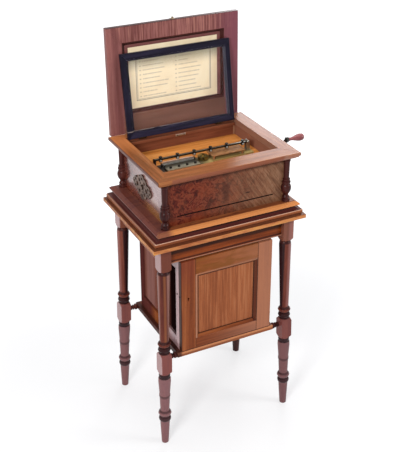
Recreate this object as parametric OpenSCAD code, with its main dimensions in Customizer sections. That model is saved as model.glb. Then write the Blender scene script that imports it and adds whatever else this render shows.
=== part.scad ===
// Disc music box on a turned stand with a disc cabinet, lids open
// millimetres, +Z up, front of the box towards -Y, crank on the +X side

/* [Stand] */
// height of the underside of the table top
table_under = 791; // [760:1:820]
// spacing of the leg centres front to back, at the cabinet board
stand_d = 356; // [350:1:362]
// lean of the legs outwards each way, in degrees
splay = 1; // [0:0.1:1.5]
// side of the square blocks of the legs
leg_s = 40; // [36:1:42]
// overhang of the table top past the leg blocks at each side
top_over = 25.5; // [22:0.5:30]
// depth of the table top
top_d = 434; // [426:1:460]
// thickness of the lower tier of the table top
top_t = 14; // [12:1:18]
// thickness of the upper tier of the table top
fillet_t = 12; // [10:1:14]
// height of the aprons
apron_h = 71; // [64:1:76]

/* [Cabinet] */
// width over the cabinet sides
cab_w = 350; // [335:1:360]
// clear gap between the cabinet board and a leg block
peg_gap = 29; // [24:1:36]
// thickness of the cabinet frames and of the door
cab_t = 18; // [16:1:20]
// height of the underside of the cabinet board
board_z = 342; // [335:1:350]
// thickness of the cabinet board
board_t = 18; // [16:1:20]
// width of the upright stiles of the cabinet sides
side_stile = 23; // [20:1:30]
// height of the rails of the cabinet sides
side_rail = 44; // [36:1:50]
// width of the door stiles
door_stile = 55; // [48:1:60]
// height of the door's top rail
door_rail = 57; // [48:1:60]

/* [Case] */
// width of the case rim
rim_w = 520; // [516:1:526]
// depth of the case rim
rim_d = 410; // [406:1:412]
// height of the rim's top above the table
case_h = 213; // [210:1:230]
// thickness of the rim with its moulding
rim_t = 23; // [21:1:25]
// thickness of the case walls
wall_t = 9; // [8:0.5:12]
// depth of the wooden deck under the rim's top
deck_drop = 60; // [59:1:64]

/* [Lids] */
// width of the lid
lid_w = 494; // [486:1:504]
// length of the lid from hinge side to front
lid_l = 377; // [365:1:380]
// thickness of the lid
lid_t = 22; // [20:1:24]
// width of the lid's side and front rails
lid_rail = 55; // [50:1:60]
// width of the glazed lid
glass_w = 411; // [400:1:412]
// length of the glazed lid
glass_l = 293; // [285:1:294]
// width of the black bars of the glazed lid
glass_bar = 27; // [22:1:32]

/* [Mechanism] */
// spacing of the knobs on the pressure bar
knob_pitch = 62; // [58:1:63]
// number of teeth of the comb
comb_teeth = 28; // [20:1:28]
// spacing of the comb's teeth
tooth_pitch = 4; // [3.6:0.1:4]
// teeth of the crown wheel
crown_teeth = 78; // [74:2:78]
// length of the crank arm
crank_r = 88; // [78:1:92]
// angle of the crank arm from upright
crank_lean = 40.3; // [20:0.1:60]
// length of the crank's grip
grip_l = 63; // [56:1:70]

/* [Hidden] */
// node to build, or all of them

// gap between neighbouring boards of one body
fit = 0.1;
// gap between pieces that move past each other
run = 0.4;
// radial clearance of a shaft in its bore
bore = 0.05;
// segment count that stands for a true circle
round_fn = 48;
// overlap that joins two shapes of one solid
lap = 0.5;

// colours
c_leg = [0.36, 0.14, 0.08];
c_top = [0.55, 0.25, 0.11];
c_cab = [0.45, 0.20, 0.09];
c_case = [0.38, 0.18, 0.09];
c_rim = [0.60, 0.30, 0.14];
c_black = [0.06, 0.05, 0.06];
c_iron = [0.12, 0.12, 0.12];
c_steel = [0.55, 0.56, 0.58];
c_brass = [0.62, 0.48, 0.20];
c_sheet = [0.86, 0.78, 0.58];
c_deck = [0.75, 0.42, 0.16];
c_glass = [0.75, 0.85, 0.85, 0.3];
c_dark = [0.22, 0.08, 0.06];

// stand
board_over = 15;
stand_w = cab_w + 2*(board_over + peg_gap) + leg_s;
top_w = stand_w + leg_s + 2*top_over;
leg_x = stand_w/2;
leg_y = stand_d/2;
// heights on a leg are drawn for a table whose underside is at 791
leg_k = table_under/791;
block_mid_lo = 295*leg_k;
block_mid_hi = 378*leg_k;
block_top_lo = 698*leg_k;
shoulder = 9*leg_k;
peg_up = 7;
peg_z = board_z + peg_up;
// the open door swings over the pegs
door_gap = 1;
peg_clear = 0.5;
peg_r = board_t + door_gap - peg_clear - peg_up;
// legs lean about the pegs, their upright top blocks sit where the turning ends
lean = tan(splay);
head_x = leg_x - (block_top_lo - peg_z)*lean;
head_y = leg_y - (block_top_lo - peg_z)*lean;
apron_set = 16;
apron_y = head_y + leg_s/2 - apron_set;
apron_x = head_x + leg_s/2 - apron_set;
apron_t = 11.8;
apron_lo = table_under - apron_h;
bead_r = 3;
top_fillet_in = 9;
top_neck_in = 12;
top_neck_t = 5;
case_z = table_under + top_t + top_neck_t + fillet_t;

// cabinet
cab_front = -(apron_y - apron_t - fit);
cab_slack = 2.8;
cab_back = -cab_front - cab_slack;
board_hi = board_z + board_t;
board_front = cab_front - cab_t;
board_back = cab_back + 19;
door_w = cab_w;
door_lo = board_hi + door_gap;
door_hi = apron_lo - bead_r - 1;
door_h = door_hi - door_lo;
door_y1 = cab_front - 0.3;
door_y0 = door_y1 - cab_t;
door_foot_rail = door_rail - 16;
panel_t = 7;
panel_set = 8;
ovolo = 14;
key_x = -door_w/2 + 28;
key_z = door_lo + door_h*0.59;
peg_y = leg_y - 8;

// case
rim_z1 = case_z + case_h;
rim_z0 = rim_z1 - rim_t;
plinth_t = 19;
plinth_in = 14;
plinth_out_x = 7.5;
plinth_out_y = 0.5;
base_over = 4.5;
base_z = case_z + plinth_t;
base_t = 12;
base_w = rim_w + 2*base_over;
base_d = rim_d + 2;
base_b = 60;
wall_z0 = base_z + base_t;
wall_in_x = 41;
wall_in_y = 36;
wall_x = rim_w/2 - wall_in_x;
wall_y = rim_d/2 - wall_in_y;
room_x = wall_x - wall_t;
room_y = wall_y - wall_t;
column_off = 6;
column_h = rim_z0 - wall_z0 - 2*fit;
rim_side = 50;
rim_front = 66.5;
rim_back = 37;
slot_z = wall_z0 + 31;
slot_h = 3;
slot_half = wall_x - 41;
slot_deep = 5;
deck_z = rim_z1 - deck_drop;
deck_t = 9;

// lid, drawn shut and then swung open about its hinge line
lid_open = 91.5;
hinge_r = 3.5;
pin_r = 1.5;
knuckle = 13;
lid_hy = rim_d/2 + 1.5;
lid_hz = rim_z1 + 0.15;
lid_z0 = rim_z1 + 0.3;
lid_y1 = lid_hy + 1.8;
lid_y0 = lid_y1 - lid_l;
lid_cy = (lid_y0 + lid_y1)/2;
lid_back_rail = lid_rail + 15;
lid_hinge_x = lid_w*0.3;
lid_recess = 10;
lid_chamfer = 3;
lid_board_t = 9;
lid_ovolo = 11;
sheet_in = 24;
sheet_top = 22;
sheet_t = 0.8;
notch = 4.6;
stop_gap = 0.3;
catch_r = 3;

// glazed lid, drawn shut and then swung open
glass_open = 99.6;
glass_t = 12;
glass_hy = rim_d/2 - rim_back - 8;
glass_hz = rim_z1 - 5;
glass_z1 = rim_z1 - 1;
glass_z0 = glass_z1 - glass_t;
glass_y1 = glass_hy - 1.5;
glass_y0 = glass_y1 - glass_l;
glass_hinge_x = glass_w*0.36;
glass_hinge_r = 2.6;
glass_pin_r = 1.2;
glass_knuckle = 9;
pane_t = 3;
pane_in = 6;
rest_z = glass_z0 - 0.3;

// mechanism
bed_z = deck_z + 6;
star_y = 7;
star_z = bed_z + 9;
star_r = 8;
star_hub = 4.6;
star_shaft = 2;
comb_right = -34;
comb_x0 = comb_right - comb_teeth*tooth_pitch;
comb_z = bed_z + 6;
comb_t = 2.5;
comb_tip = star_y - star_r - 1.2;
comb_root = -15;
comb_heel = -45;
bed_x = 186;
bed_y0 = -50;
bed_y1 = 24;
bed_step_x = 24;
bed_step_y = -22;
bar_y0 = 0;
bar_y1 = 10;
bar_z0 = bed_z + 28;
bar_t = 5;
bar_hx = 174;
bar_hz = bar_z0 + bar_t/2;
bar_pin = 2.5;
bar_eye = 5;
bar_left = -178;
roller_r = 5;
roller_w = 6;
roller_z = bar_z0 - 4;
fork_t = 2;
axle_r = 1.5;
knob_r = 6;
knob_h = 7;
cover_x0 = 26;
cover_x1 = 152;
cover_y0 = -24;
cover_z = bed_z + 13;
cover_t = 2.5;

// drive
shaft_r = 5;
shaft_z = deck_z - 25;
gear_m = 5/3;
pinion_n = 12;
pinion_pr = gear_m*pinion_n/2;
crown_pr = gear_m*crown_teeth/2;
gear_add = 1.5;
gear_ded = 2.1;
tooth_frac = 0.37;
flank = 0.36;
gear_half = 5;
crown_top = shaft_z - pinion_pr + gear_add;
crown_root = shaft_z - pinion_pr - gear_ded;
crown_t = 6;
hub_r = 18;
hub_z0 = bed_z + 2;
hub_z1 = bed_z + 14;
spindle_r = 3.5;
foot_h = 26;
foot_r = 16;
foot_floor = 5;
arm_x = 292;
arm_t = 8;
boss_r = 11;
tip_r = 9;
grip_pin = 4;
grip_max = 13;
handle_y = -crank_r*sin(crank_lean);
handle_z = shaft_z + crank_r*cos(crank_lean);

// middle of the overall plan, which the origin sits under
x_max = arm_x + arm_t + run + grip_l;
x_min = -top_w/2;
y_min = -top_d/2;
lid_past = lid_open - 90;
y_max = lid_hy + (lid_z0 - lid_hz + lid_t)*cos(lid_past) + (lid_hy - lid_y0 - lid_chamfer)*sin(lid_past);
mid_x = (x_max + x_min)/2;
mid_y = (y_max + y_min)/2;

// moves a piece from the table's own centre to the row's origin
module place() {
    translate([-mid_x, -mid_y, 0]) children();
}

// box from low corner to high corner
module box(lo, hi) {
    translate(lo) cube(hi - lo);
}

// round bar along X
module bar_along_x(x0, x1, y, z, r) {
    translate([x0, y, z]) rotate([0, 90, 0]) cylinder(h = x1 - x0, r = r, $fn = round_fn);
}

// round bar along Y
module bar_along_y(y0, y1, x, z, r) {
    translate([x, y0, z]) rotate([-90, 0, 0]) cylinder(h = y1 - y0, r = r, $fn = round_fn);
}

// turned shape about the vertical
module turned(profile) {
    rotate_extrude($fn = round_fn) polygon(profile);
}

// profile given as inward and up, run along X and mitred for neighbours of width side_b
module mitred_length(len, profile, b, side_b, h) {
    half = len/2 - fit/2;
    intersection() {
        rotate([90, 0, 90]) translate([0, 0, -len/2]) linear_extrude(len) polygon(profile);
        translate([0, 0, -h]) linear_extrude(3*h)
            polygon([[-half, 0], [half, 0], [half - side_b, b], [-half + side_b, b]]);
    }
}

// four mitred lengths round a rectangle centred on the origin
module mitred_frame(w, d, profile, b, h) {
    for (turn = [0, 2])
        rotate(90*turn) translate([0, -d/2, 0]) mitred_length(w, profile, b, b, h);
    for (turn = [1, 3])
        rotate(90*turn) translate([0, -w/2, 0]) mitred_length(d, profile, b, b, h);
}

// swings a piece that is drawn shut to where the open lid holds it
module open_lid() {
    translate([0, lid_hy, lid_hz]) rotate([-lid_open, 0, 0]) translate([0, -lid_hy, -lid_hz]) children();
}

// swings a piece that is drawn shut to where the open glazed lid holds it
module open_glass() {
    translate([0, glass_hy, glass_hz]) rotate([-glass_open, 0, 0])
        translate([0, -glass_hy, -glass_hz]) children();
}

// square block with turned shoulders between two heights
module leg_block(z0, z1, low, high) {
    corner = leg_s*0.7072;
    neck = leg_s*0.46;
    intersection() {
        box([-leg_s/2, -leg_s/2, z0], [leg_s/2, leg_s/2, z1]);
        turned([[0, z0], [low ? neck : corner, z0], [corner, z0 + (low ? shoulder : 0)],
            [corner, z1 - (high ? shoulder : 0)], [high ? neck : corner, z1], [0, z1]]);
    }
}

// outline of the turned part of a leg, from below the foot's cut to the top block
function leg_outline() = [
    [0, -4], [12, -4], [12.5, 2], [17.4, 92], [18.2, 96], [20.5, 99], [21.8, 104.5], [20.5, 110], [16.5, 112.5],
    [16.5, 118.5], [20.5, 120], [23.2, 127], [20.5, 134], [16.2, 137], [16.2, 140], [18.4, 196], [19.6, 198],
    [19.8, 204.5], [18.8, 211.5], [22.3, 262], [21.6, 275], [17.5, 279], [19.5, 283], [20.2, 288], [18.5, 294],
    [18.5, 379], [15, 382], [15, 384.5], [19.5, 386], [22, 392], [19.5, 400], [15.5, 403], [15.5, 407],
    [20.2, 408.5], [22.8, 414], [20.2, 419.5], [15.8, 422], [15.8, 428], [21.2, 666], [21.6, 678], [20.8, 688],
    [18.5, 695], [14, 699.5], [14, 712], [0, 712]];

// turned leg with its middle block, drawn upright about its own axis
module spindle() {
    turned([for (p = leg_outline()) [p[0]*leg_s/40, p[1]*leg_k]]);
    leg_block(block_mid_lo, block_mid_hi, true, true);
}

// leg at one corner, leaning outwards and cut level at the floor
module leg(sx, sy) {
    color(c_leg) union() {
        translate([sx*head_x, sy*head_y, 0]) leg_block(block_top_lo, table_under - fit, true, false);
        intersection() {
            translate([sx*leg_x, sy*leg_y, peg_z]) rotate([sy*splay, -sx*splay, 0])
                translate([0, 0, -peg_z]) spindle();
            slab(2*stand_w, 2*stand_d, 0, table_under - fit);
        }
    }
}

module leg_front_left() { leg(-1, -1); }
module leg_front_right() { leg(1, -1); }
module leg_back_left() { leg(-1, 1); }
module leg_back_right() { leg(1, 1); }

// slab centred in plan
module slab(w, d, z0, z1) {
    box([-w/2, -d/2, z0], [w/2, d/2, z1]);
}

module table_top() {
    z1 = table_under + top_t;
    z2 = z1 + top_neck_t;
    color(c_top) union() {
        slab(top_w, top_d, table_under, z1);
        slab(top_w - 2*top_neck_in, top_d - 2*top_neck_in, z1 - lap, z2 + lap);
        slab(top_w - 2*top_fillet_in, top_d - 2*top_fillet_in, z2, case_z);
    }
}

// apron along X with a bead on its lower front edge
module apron(len, face) {
    box([-len/2, -face, apron_lo], [len/2, -face + apron_t, table_under - fit]);
    bar_along_x(-len/2, len/2, -face, apron_lo + bead_r, bead_r);
}

module aprons_long() {
    len = 2*head_x - leg_s - 2*fit;
    color(c_cab) for (turn = [0, 180]) rotate(turn) apron(len, apron_y);
}

module aprons_short() {
    len = 2*head_y - leg_s - 2*fit;
    color(c_cab) for (turn = [90, 270]) rotate(turn) apron(len, apron_x);
}

// short turned peg between a leg block and the cabinet board
module peg() {
    l = peg_gap - 2*fit - peg_r*lean;
    r = peg_r;
    rotate([0, 90, 0]) turned([[0, 0], [r - 4, 0], [r - 0.8, l*0.08], [r, l*0.2], [r - 0.8, l*0.32],
        [r - 5, l*0.41], [r - 5, l*0.46], [r - 2, l*0.52], [r - 2, l*0.6], [r - 5, l*0.66],
        [r - 5, l*0.71], [r - 2.5, l*0.78], [r - 2.5, l*0.9], [r - 4, l], [0, l]]);
}

module pegs() {
    x0 = cab_w/2 + board_over + fit;
    color(c_dark) for (sx = [0, 1], sy = [-1, 1])
        mirror([sx, 0, 0]) translate([x0, sy*peg_y, peg_z]) peg();
}

module cabinet_board() {
    half = cab_w/2 + board_over;
    color(c_cab) box([-half, board_front, board_z], [half, board_back, board_hi]);
}

// framed side of the cabinet: two stiles and two rails
module cabinet_side() {
    x0 = cab_w/2 - cab_t;
    x1 = cab_w/2;
    z0 = board_hi + fit;
    z1 = table_under - fit;
    ya = cab_front + side_stile;
    yb = cab_back - side_stile;
    box([x0, cab_front, z0], [x1, ya, z1]);
    box([x0, yb, z0], [x1, cab_back, z1]);
    box([x0, ya + fit, z0], [x1, yb - fit, z0 + side_rail]);
    box([x0, ya + fit, z1 - apron_h - side_rail], [x1, yb - fit, z1]);
}

module cabinet_sides() {
    color(c_cab) for (sx = [0, 1]) mirror([sx, 0, 0]) cabinet_side();
}

// panel of a cabinet side, with a bevelled border
module cabinet_panels() {
    ya = cab_front + side_stile + fit;
    yb = cab_back - side_stile - fit;
    z0 = board_hi + side_rail + 2*fit;
    z1 = table_under - apron_h - side_rail - 2*fit;
    x1 = cab_w/2 - panel_set/2;
    edge = 10;
    color(c_cab) for (sx = [0, 1]) mirror([sx, 0, 0])
        difference() {
            box([x1 - panel_t, ya, z0], [x1, yb, z1]);
            translate([x1, (ya + yb)/2, (z0 + z1)/2]) rotate([0, 90, 0])
                mitred_frame(z1 - z0 + 1, yb - ya + 1,
                    [[-1, 1], [-1, -5], [edge - 2, -2], [edge, 0], [edge, 1]], edge + 1, 8);
        }
}

module cabinet_back() {
    half = cab_w/2 - cab_t - fit;
    color(c_cab) box([-half, cab_back - 9, board_hi + fit], [half, cab_back, table_under - fit]);
}

// keyhole cut through the door's free stile
module keyhole() {
    bar_along_y(door_y0 - 1, door_y1 + 1, key_x, key_z, 3.6);
    box([key_x - 1.6, door_y0 - 1, key_z - 9], [key_x + 1.6, door_y1 + 1, key_z]);
}

module door_frame() {
    half = door_w/2;
    inner = half - door_stile;
    color(c_cab) {
        difference() {
            box([-half, door_y0, door_lo], [-inner, door_y1, door_hi]);
            keyhole();
        }
        box([inner, door_y0, door_lo], [half, door_y1, door_hi]);
        box([-inner + fit, door_y0, door_hi - door_rail], [inner - fit, door_y1, door_hi]);
        box([-inner + fit, door_y0, door_lo], [inner - fit, door_y1, door_lo + door_foot_rail]);
    }
}

module door_panel() {
    inner = door_w/2 - door_stile - fit;
    color(c_cab) box([-inner, door_y0 + panel_set, door_lo + door_foot_rail + fit],
        [inner, door_y0 + panel_set + panel_t, door_hi - door_rail - fit]);
}

// rounded moulding round the door panel
module door_moulding() {
    w = door_w - 2*door_stile - 2*fit;
    z0 = door_lo + door_foot_rail + fit;
    z1 = door_hi - door_rail - fit;
    deep = panel_set - fit;
    profile = [[0, 0], [ovolo, 0], [ovolo, 1.5], [ovolo - 3, 2.2], [ovolo - 6, 4.2], [ovolo - 8, 7.2],
        [ovolo - 9, deep + 1.6], [2, deep + 1.6], [0, deep + 0.6]];
    color(c_dark) translate([0, door_y0 + panel_set - fit, (z0 + z1)/2]) rotate([90, 0, 0])
        mitred_frame(w, z1 - z0, profile, ovolo, 12);
}

module door_lock() {
    x1 = key_x + 14;
    color(c_iron) box([key_x - 8, door_y1 + fit/2, key_z - 24], [x1, door_y1 + 12, key_z + 22]);
}

// hinge line of the door, on the right-hand side
door_hx = cab_w/2 + hinge_r + 0.4;
door_hy = cab_front - 0.15;
door_hinge_zs = [door_lo + 60, door_hi - 60];
// thickness of the door hinges' leaves, with their gap to the wood
leaf_t = 1.4;

module door_hinge_fixed() {
    half = knuckle*1.5;
    leaf_y = door_hy + hinge_r + run;
    color(c_brass) for (z = door_hinge_zs) translate([0, 0, z]) union() {
        box([cab_w/2 + fit, leaf_y, -half], [cab_w/2 + leaf_t, leaf_y + 14, half]);
        for (s = [-1, 1]) {
            z0 = s < 0 ? -half : knuckle/2;
            translate([door_hx, door_hy, z0]) cylinder(h = knuckle, r = hinge_r, $fn = round_fn);
            box([cab_w/2 + fit, door_hy + 0.75, z0], [door_hx, door_hy + 2.15, z0 + knuckle]);
            box([cab_w/2 + fit, door_hy + 0.75, z0], [cab_w/2 + leaf_t, leaf_y + 1, z0 + knuckle]);
        }
        translate([door_hx, door_hy, -half]) cylinder(h = 2*half, r = pin_r, $fn = round_fn);
    }
}

module door_hinge_moving() {
    h = knuckle - 2*run;
    color(c_brass) for (z = door_hinge_zs) translate([0, 0, z - h/2]) difference() {
        union() {
            box([cab_w/2 + fit, door_y1 - 16, 0], [cab_w/2 + leaf_t, door_y1 - 0.3, h]);
            box([cab_w/2 + fit, door_hy - 2.15, 0], [door_hx, door_hy - 0.75, h]);
            translate([door_hx, door_hy, 0]) cylinder(h = h, r = hinge_r, $fn = round_fn);
        }
        translate([door_hx, door_hy, -1]) cylinder(h = h + 2, r = pin_r + bore, $fn = round_fn);
    }
}

// right half of a hollow curve between a foot and a narrower top, as inward and upward shares
function cove_shares() = [[0, 0], [0, 0.1], [0.34, 0.14], [0.62, 0.26], [0.82, 0.44], [0.94, 0.68], [1, 1]];

// whole outline of the plinth seen along one axis
function cove(top, foot, z0, z1) =
    let(half = [for (c = cove_shares()) [foot - (foot - top)*c[0], z0 + (z1 - z0)*c[1]]], n = len(half))
    concat(half, [for (i = [1 : n]) [-half[n - i][0], half[n - i][1]]]);

// hollow-curved plinth that spreads a little past the base moulding, near the edge of the table's upper tier
module case_plinth() {
    z0 = case_z + fit;
    z1 = base_z - fit;
    foot_x = base_w/2 + plinth_out_x;
    foot_y = base_d/2 + plinth_out_y;
    color(c_black) intersection() {
        translate([0, base_d, 0]) rotate([90, 0, 0]) linear_extrude(2*base_d)
            polygon(cove(base_w/2 - plinth_in, foot_x, z0, z1));
        translate([-base_w, 0, 0]) rotate([90, 0, 90]) linear_extrude(2*base_w)
            polygon(cove(base_d/2 - plinth_in, foot_y, z0, z1));
    }
}

module base_moulding() {
    t = base_t;
    profile = [[0, 0], [base_b, 0], [base_b, t], [15, t], [14, t - 1.2], [11, t - 1.8], [6, t - 3.6],
        [3, t - 6], [2.4, t - 7.5], [0, t - 7.5]];
    color(c_top) translate([0, 0, base_z]) mitred_frame(base_w, base_d, profile, base_b, 30);
}

module case_floor() {
    inset = base_b + fit;
    color(c_deck) slab(base_w - 2*inset, base_d - 2*inset, base_z, base_z + base_t);
}

// dark slot along the foot of the front wall
module front_slot() {
    z0 = slot_z - slot_h/2;
    box([-slot_half, -wall_y - 1, z0], [slot_half, -wall_y + slot_deep, z0 + slot_h]);
    for (s = [-1, 1]) bar_along_y(-wall_y - 1, -wall_y + slot_deep, s*slot_half, slot_z, slot_h/2);
}

module case_front() {
    color(c_case) difference() {
        box([-wall_x, -wall_y, wall_z0 + fit], [wall_x, -room_y, rim_z0 - fit]);
        front_slot();
    }
}

module case_back() {
    color(c_case) box([-wall_x, room_y, wall_z0 + fit], [wall_x, wall_y, rim_z0 - fit]);
}

module case_left() {
    y1 = room_y - fit;
    color(c_case) box([-wall_x, -y1, wall_z0 + fit], [-room_x, y1, rim_z0 - fit]);
}

module case_right() {
    y1 = room_y - fit;
    color(c_case) difference() {
        box([room_x, -y1, wall_z0 + fit], [wall_x, y1, rim_z0 - fit]);
        bar_along_x(room_x - 1, wall_x + 1, 0, shaft_z, 2*shaft_r + fit);
    }
}

// outline of a corner column, as radius and share of its height
function column_outline() = [
    [0, 0], [14, 0], [14, 0.035], [12, 0.045], [11.5, 0.06], [12.5, 0.075], [12.5, 0.1], [10, 0.125],
    [8.5, 0.15], [9, 0.165], [13, 0.205], [16.5, 0.25], [17.8, 0.3], [17.2, 0.345], [14.8, 0.385],
    [12, 0.405], [12, 0.415], [14.5, 0.425], [15.2, 0.445], [14.5, 0.465], [11.5, 0.475], [11.5, 0.49],
    [13, 0.5], [13, 0.52], [10, 0.535],
    [9.6, 0.56], [10.6, 0.9], [10.2, 0.915], [12, 0.925], [12.6, 0.945], [12, 0.965], [10.8, 0.972],
    [10.8, 0.98], [13.5, 0.985], [13.5, 1], [0, 1]];

// corner columns, cut away where they lap the walls
module columns() {
    profile = [for (p = column_outline()) [p[0], p[1]*column_h]];
    color(c_dark) difference() {
        for (sx = [-1, 1], sy = [-1, 1])
            translate([sx*(wall_x + column_off), sy*(wall_y + column_off), wall_z0 + fit]) turned(profile);
        slab(2*(wall_x + fit), 2*(wall_y + fit), wall_z0, rim_z0);
    }
}

// rim board of width b with a moulded outer edge, as inward and up
function rim_profile(b) = [[14, 0], [b, 0], [b, rim_t], [2, rim_t], [0.6, rim_t - 0.6], [0, rim_t - 2],
    [0, rim_t - 10], [1, rim_t - 11.5], [3, rim_t - 12], [4, rim_t - 14], [7, 4.5], [11, 2.8], [14, 2.4]];

// one hinge pocket in the rim's back edge and in the lid's
module hinge_pocket(x) {
    box([x - 1.6*knuckle, lid_hy - notch, lid_hz - notch], [x + 1.6*knuckle, lid_hy + 8, lid_hz + notch]);
}

module rim() {
    color(c_rim) translate([0, 0, rim_z0]) {
        translate([0, -rim_d/2, 0]) mitred_length(rim_w, rim_profile(rim_front), rim_front, rim_side, 40);
        difference() {
            rotate(180) translate([0, -rim_d/2, 0])
                mitred_length(rim_w, rim_profile(rim_back), rim_back, rim_side, 40);
            translate([0, 0, -rim_z0]) for (s = [-1, 1]) hinge_pocket(s*lid_hinge_x);
        }
        for (s = [0, 1]) mirror([s, 0, 0]) rim_side_board();
    }
}

// side board of the rim, whose mitres meet a wide front and a narrow back
module rim_side_board() {
    half = rim_d/2 - fit;
    intersection() {
        rotate(90) translate([0, -rim_w/2, 0]) rotate([90, 0, 90]) translate([0, 0, -rim_d/2])
            linear_extrude(rim_d) polygon(rim_profile(rim_side));
        translate([rim_w/2, 0, -40]) linear_extrude(120)
            polygon([[0, -half], [0, half], [-rim_side, half - rim_back], [-rim_side, rim_front - half]]);
    }
}

// circles of the pierced ornament's outline, as height, length and radius
function scroll_discs() = [[0, 34, 22], [22, 20, 14], [-22, 20, 14], [10, 50, 12], [-10, 50, 12], [0, 62, 11]];

// holes of the pierced ornament on one half
function scroll_holes() = [[20, 20, 6], [-20, 20, 6], [0, 36, 8], [11, 50, 4.5], [-11, 50, 4.5], [0, 63, 4],
    [12, 10, 3.5], [-12, 10, 3.5]];

// pierced ornament on the left wall
module side_ornament() {
    t = 5;
    cz = (wall_z0 + rim_z0)/2 - 10.5;
    color(c_iron) translate([-wall_x - fit, 8, cz]) rotate([0, -90, 0]) difference() {
        union() {
            cylinder(h = t, r = 28, $fn = round_fn);
            for (s = [-1, 1]) {
                translate([s*30, 0, 0]) cylinder(h = t, r = 15, $fn = round_fn);
                for (c = scroll_discs())
                    translate([c[0], s*c[1], 0]) cylinder(h = t, r = c[2], $fn = round_fn);
            }
            cylinder(h = t + 4, r = 9, $fn = round_fn);
        }
        for (s = [-1, 1]) {
            translate([s*30, 0, -1]) cylinder(h = t + 2, r = 5, $fn = round_fn);
            for (c = scroll_holes())
                translate([c[0], s*c[1], -1]) cylinder(h = t + 2, r = c[2], $fn = round_fn);
        }
    }
}

// strips under the glazed lid at the back and front of the rim's opening
module glass_rests() {
    half = rim_w/2 - rim_side - 5;
    front = -rim_d/2 + rim_front + fit;
    back = rim_d/2 - rim_back - fit;
    color(c_rim) {
        box([-half, back - 17, rim_z0], [half, back, rest_z]);
        box([-half, front, rim_z0], [half, front + 8, rest_z]);
    }
}

module lid_frame() {
    profile = [[0, 0], [lid_rail, 0], [lid_rail, lid_t], [lid_chamfer, lid_t], [0, lid_t - lid_chamfer]];
    back_profile = [[0, 0], [lid_back_rail, 0], [lid_back_rail, lid_t], [lid_chamfer, lid_t],
        [0, lid_t - lid_chamfer]];
    color(c_rim) open_lid() difference() {
        translate([0, lid_cy, lid_z0]) {
            translate([0, -lid_l/2, 0]) mitred_length(lid_w, profile, lid_rail, lid_rail, 40);
            rotate(180) translate([0, -lid_l/2, 0])
                mitred_length(lid_w, back_profile, lid_back_rail, lid_rail, 40);
            for (s = [0, 1]) mirror([s, 0, 0]) lid_side_board(profile);
        }
        for (s = [-1, 1]) hinge_pocket(s*lid_hinge_x);
    }
}

// side board of the lid, whose mitres meet a narrow front and a wider back rail
module lid_side_board(profile) {
    half = lid_l/2 - fit;
    intersection() {
        rotate(90) translate([0, -lid_w/2, 0]) rotate([90, 0, 90]) translate([0, 0, -lid_l/2])
            linear_extrude(lid_l) polygon(profile);
        translate([lid_w/2, 0, -40]) linear_extrude(120)
            polygon([[0, -half], [0, half], [-lid_rail, half - lid_back_rail], [-lid_rail, lid_rail - half]]);
    }
}

// clear size inside the lid's rails
lid_in_w = lid_w - 2*lid_rail - 2*fit;
lid_in_y0 = lid_y0 + lid_rail + fit;
lid_in_y1 = lid_y1 - lid_back_rail - fit;

module lid_panel() {
    color(c_rim) open_lid() box([-lid_in_w/2, lid_in_y0, lid_z0 + lid_recess],
        [lid_in_w/2, lid_in_y1, lid_z0 + lid_recess + lid_board_t]);
}

module lid_moulding() {
    h = lid_recess - fit;
    b = lid_ovolo;
    profile = [[0, 0.5], [3, 0.5], [4, 1.2], [5, 3.5], [7, 6], [b - 1, 7.8], [b, 8.5], [b, h], [0, h]];
    color(c_dark) open_lid() translate([0, (lid_in_y0 + lid_in_y1)/2, lid_z0])
        mitred_frame(lid_in_w, lid_in_y1 - lid_in_y0, profile, b, 20);
}

module tune_sheet() {
    z1 = lid_z0 + lid_recess - fit/2;
    color(c_sheet) open_lid() box([-lid_in_w/2 + sheet_in, lid_in_y0 + sheet_top, z1 - sheet_t],
        [lid_in_w/2 - sheet_in, lid_in_y1 - lid_ovolo - 2, z1]);
}

// small catch on the lid's front edge
module lid_catch() {
    y = lid_y0 - fit;
    color(c_brass) open_lid() union() {
        box([-8, y - 2, lid_z0 + 5], [8, y, lid_z0 + 17]);
        box([-catch_r, y - 5, lid_z0 + 9], [catch_r, y - 1.5, lid_z0 + 13]);
        translate([0, y - 5, lid_z0 + 9]) cylinder(h = 4, r = catch_r, $fn = round_fn);
    }
}

// fixed halves of the lid hinges, with the tail that stops the open lid
module lid_hinge_fixed() {
    half = knuckle*1.5;
    yb = rim_d/2 + fit;
    tail_y = lid_hy + lid_t;
    tail_z = lid_hz + (lid_hy - lid_y1)*cos(lid_open - 90) - lid_t*sin(lid_open - 90) - stop_gap;
    tail = [[yb, lid_hz - 22], [yb + 2, lid_hz - 22], [yb + 2, lid_hz - 11], [tail_y, tail_z - 4],
        [tail_y, tail_z], [tail_y - 4, tail_z], [tail_y - 4, tail_z - 1.2], [lid_hy + 3, lid_hz - 6],
        [yb, lid_hz - 2.5]];
    color(c_brass) for (s = [-1, 1]) translate([s*lid_hinge_x, 0, 0]) union() {
        for (x0 = [-half, knuckle/2]) {
            bar_along_x(x0, x0 + knuckle, lid_hy, lid_hz, hinge_r);
            translate([x0, 0, 0]) rotate([90, 0, 90]) linear_extrude(knuckle) polygon(tail);
        }
        box([-half, yb, lid_hz - 22], [half, yb + 2, lid_hz - 12]);
        bar_along_x(-half, half, lid_hy, lid_hz, pin_r);
    }
}

module lid_hinge_moving() {
    h = knuckle - 2*run;
    color(c_brass) open_lid() for (s = [-1, 1]) translate([s*lid_hinge_x, 0, 0]) difference() {
        union() {
            bar_along_x(-h/2, h/2, lid_hy, lid_hz, hinge_r);
            box([-h/2, lid_y1 + fit, lid_hz], [h/2, lid_y1 + 1.6, lid_z0 + 15]);
        }
        bar_along_x(-h, h, lid_hy, lid_hz, pin_r + bore);
    }
}

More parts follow.
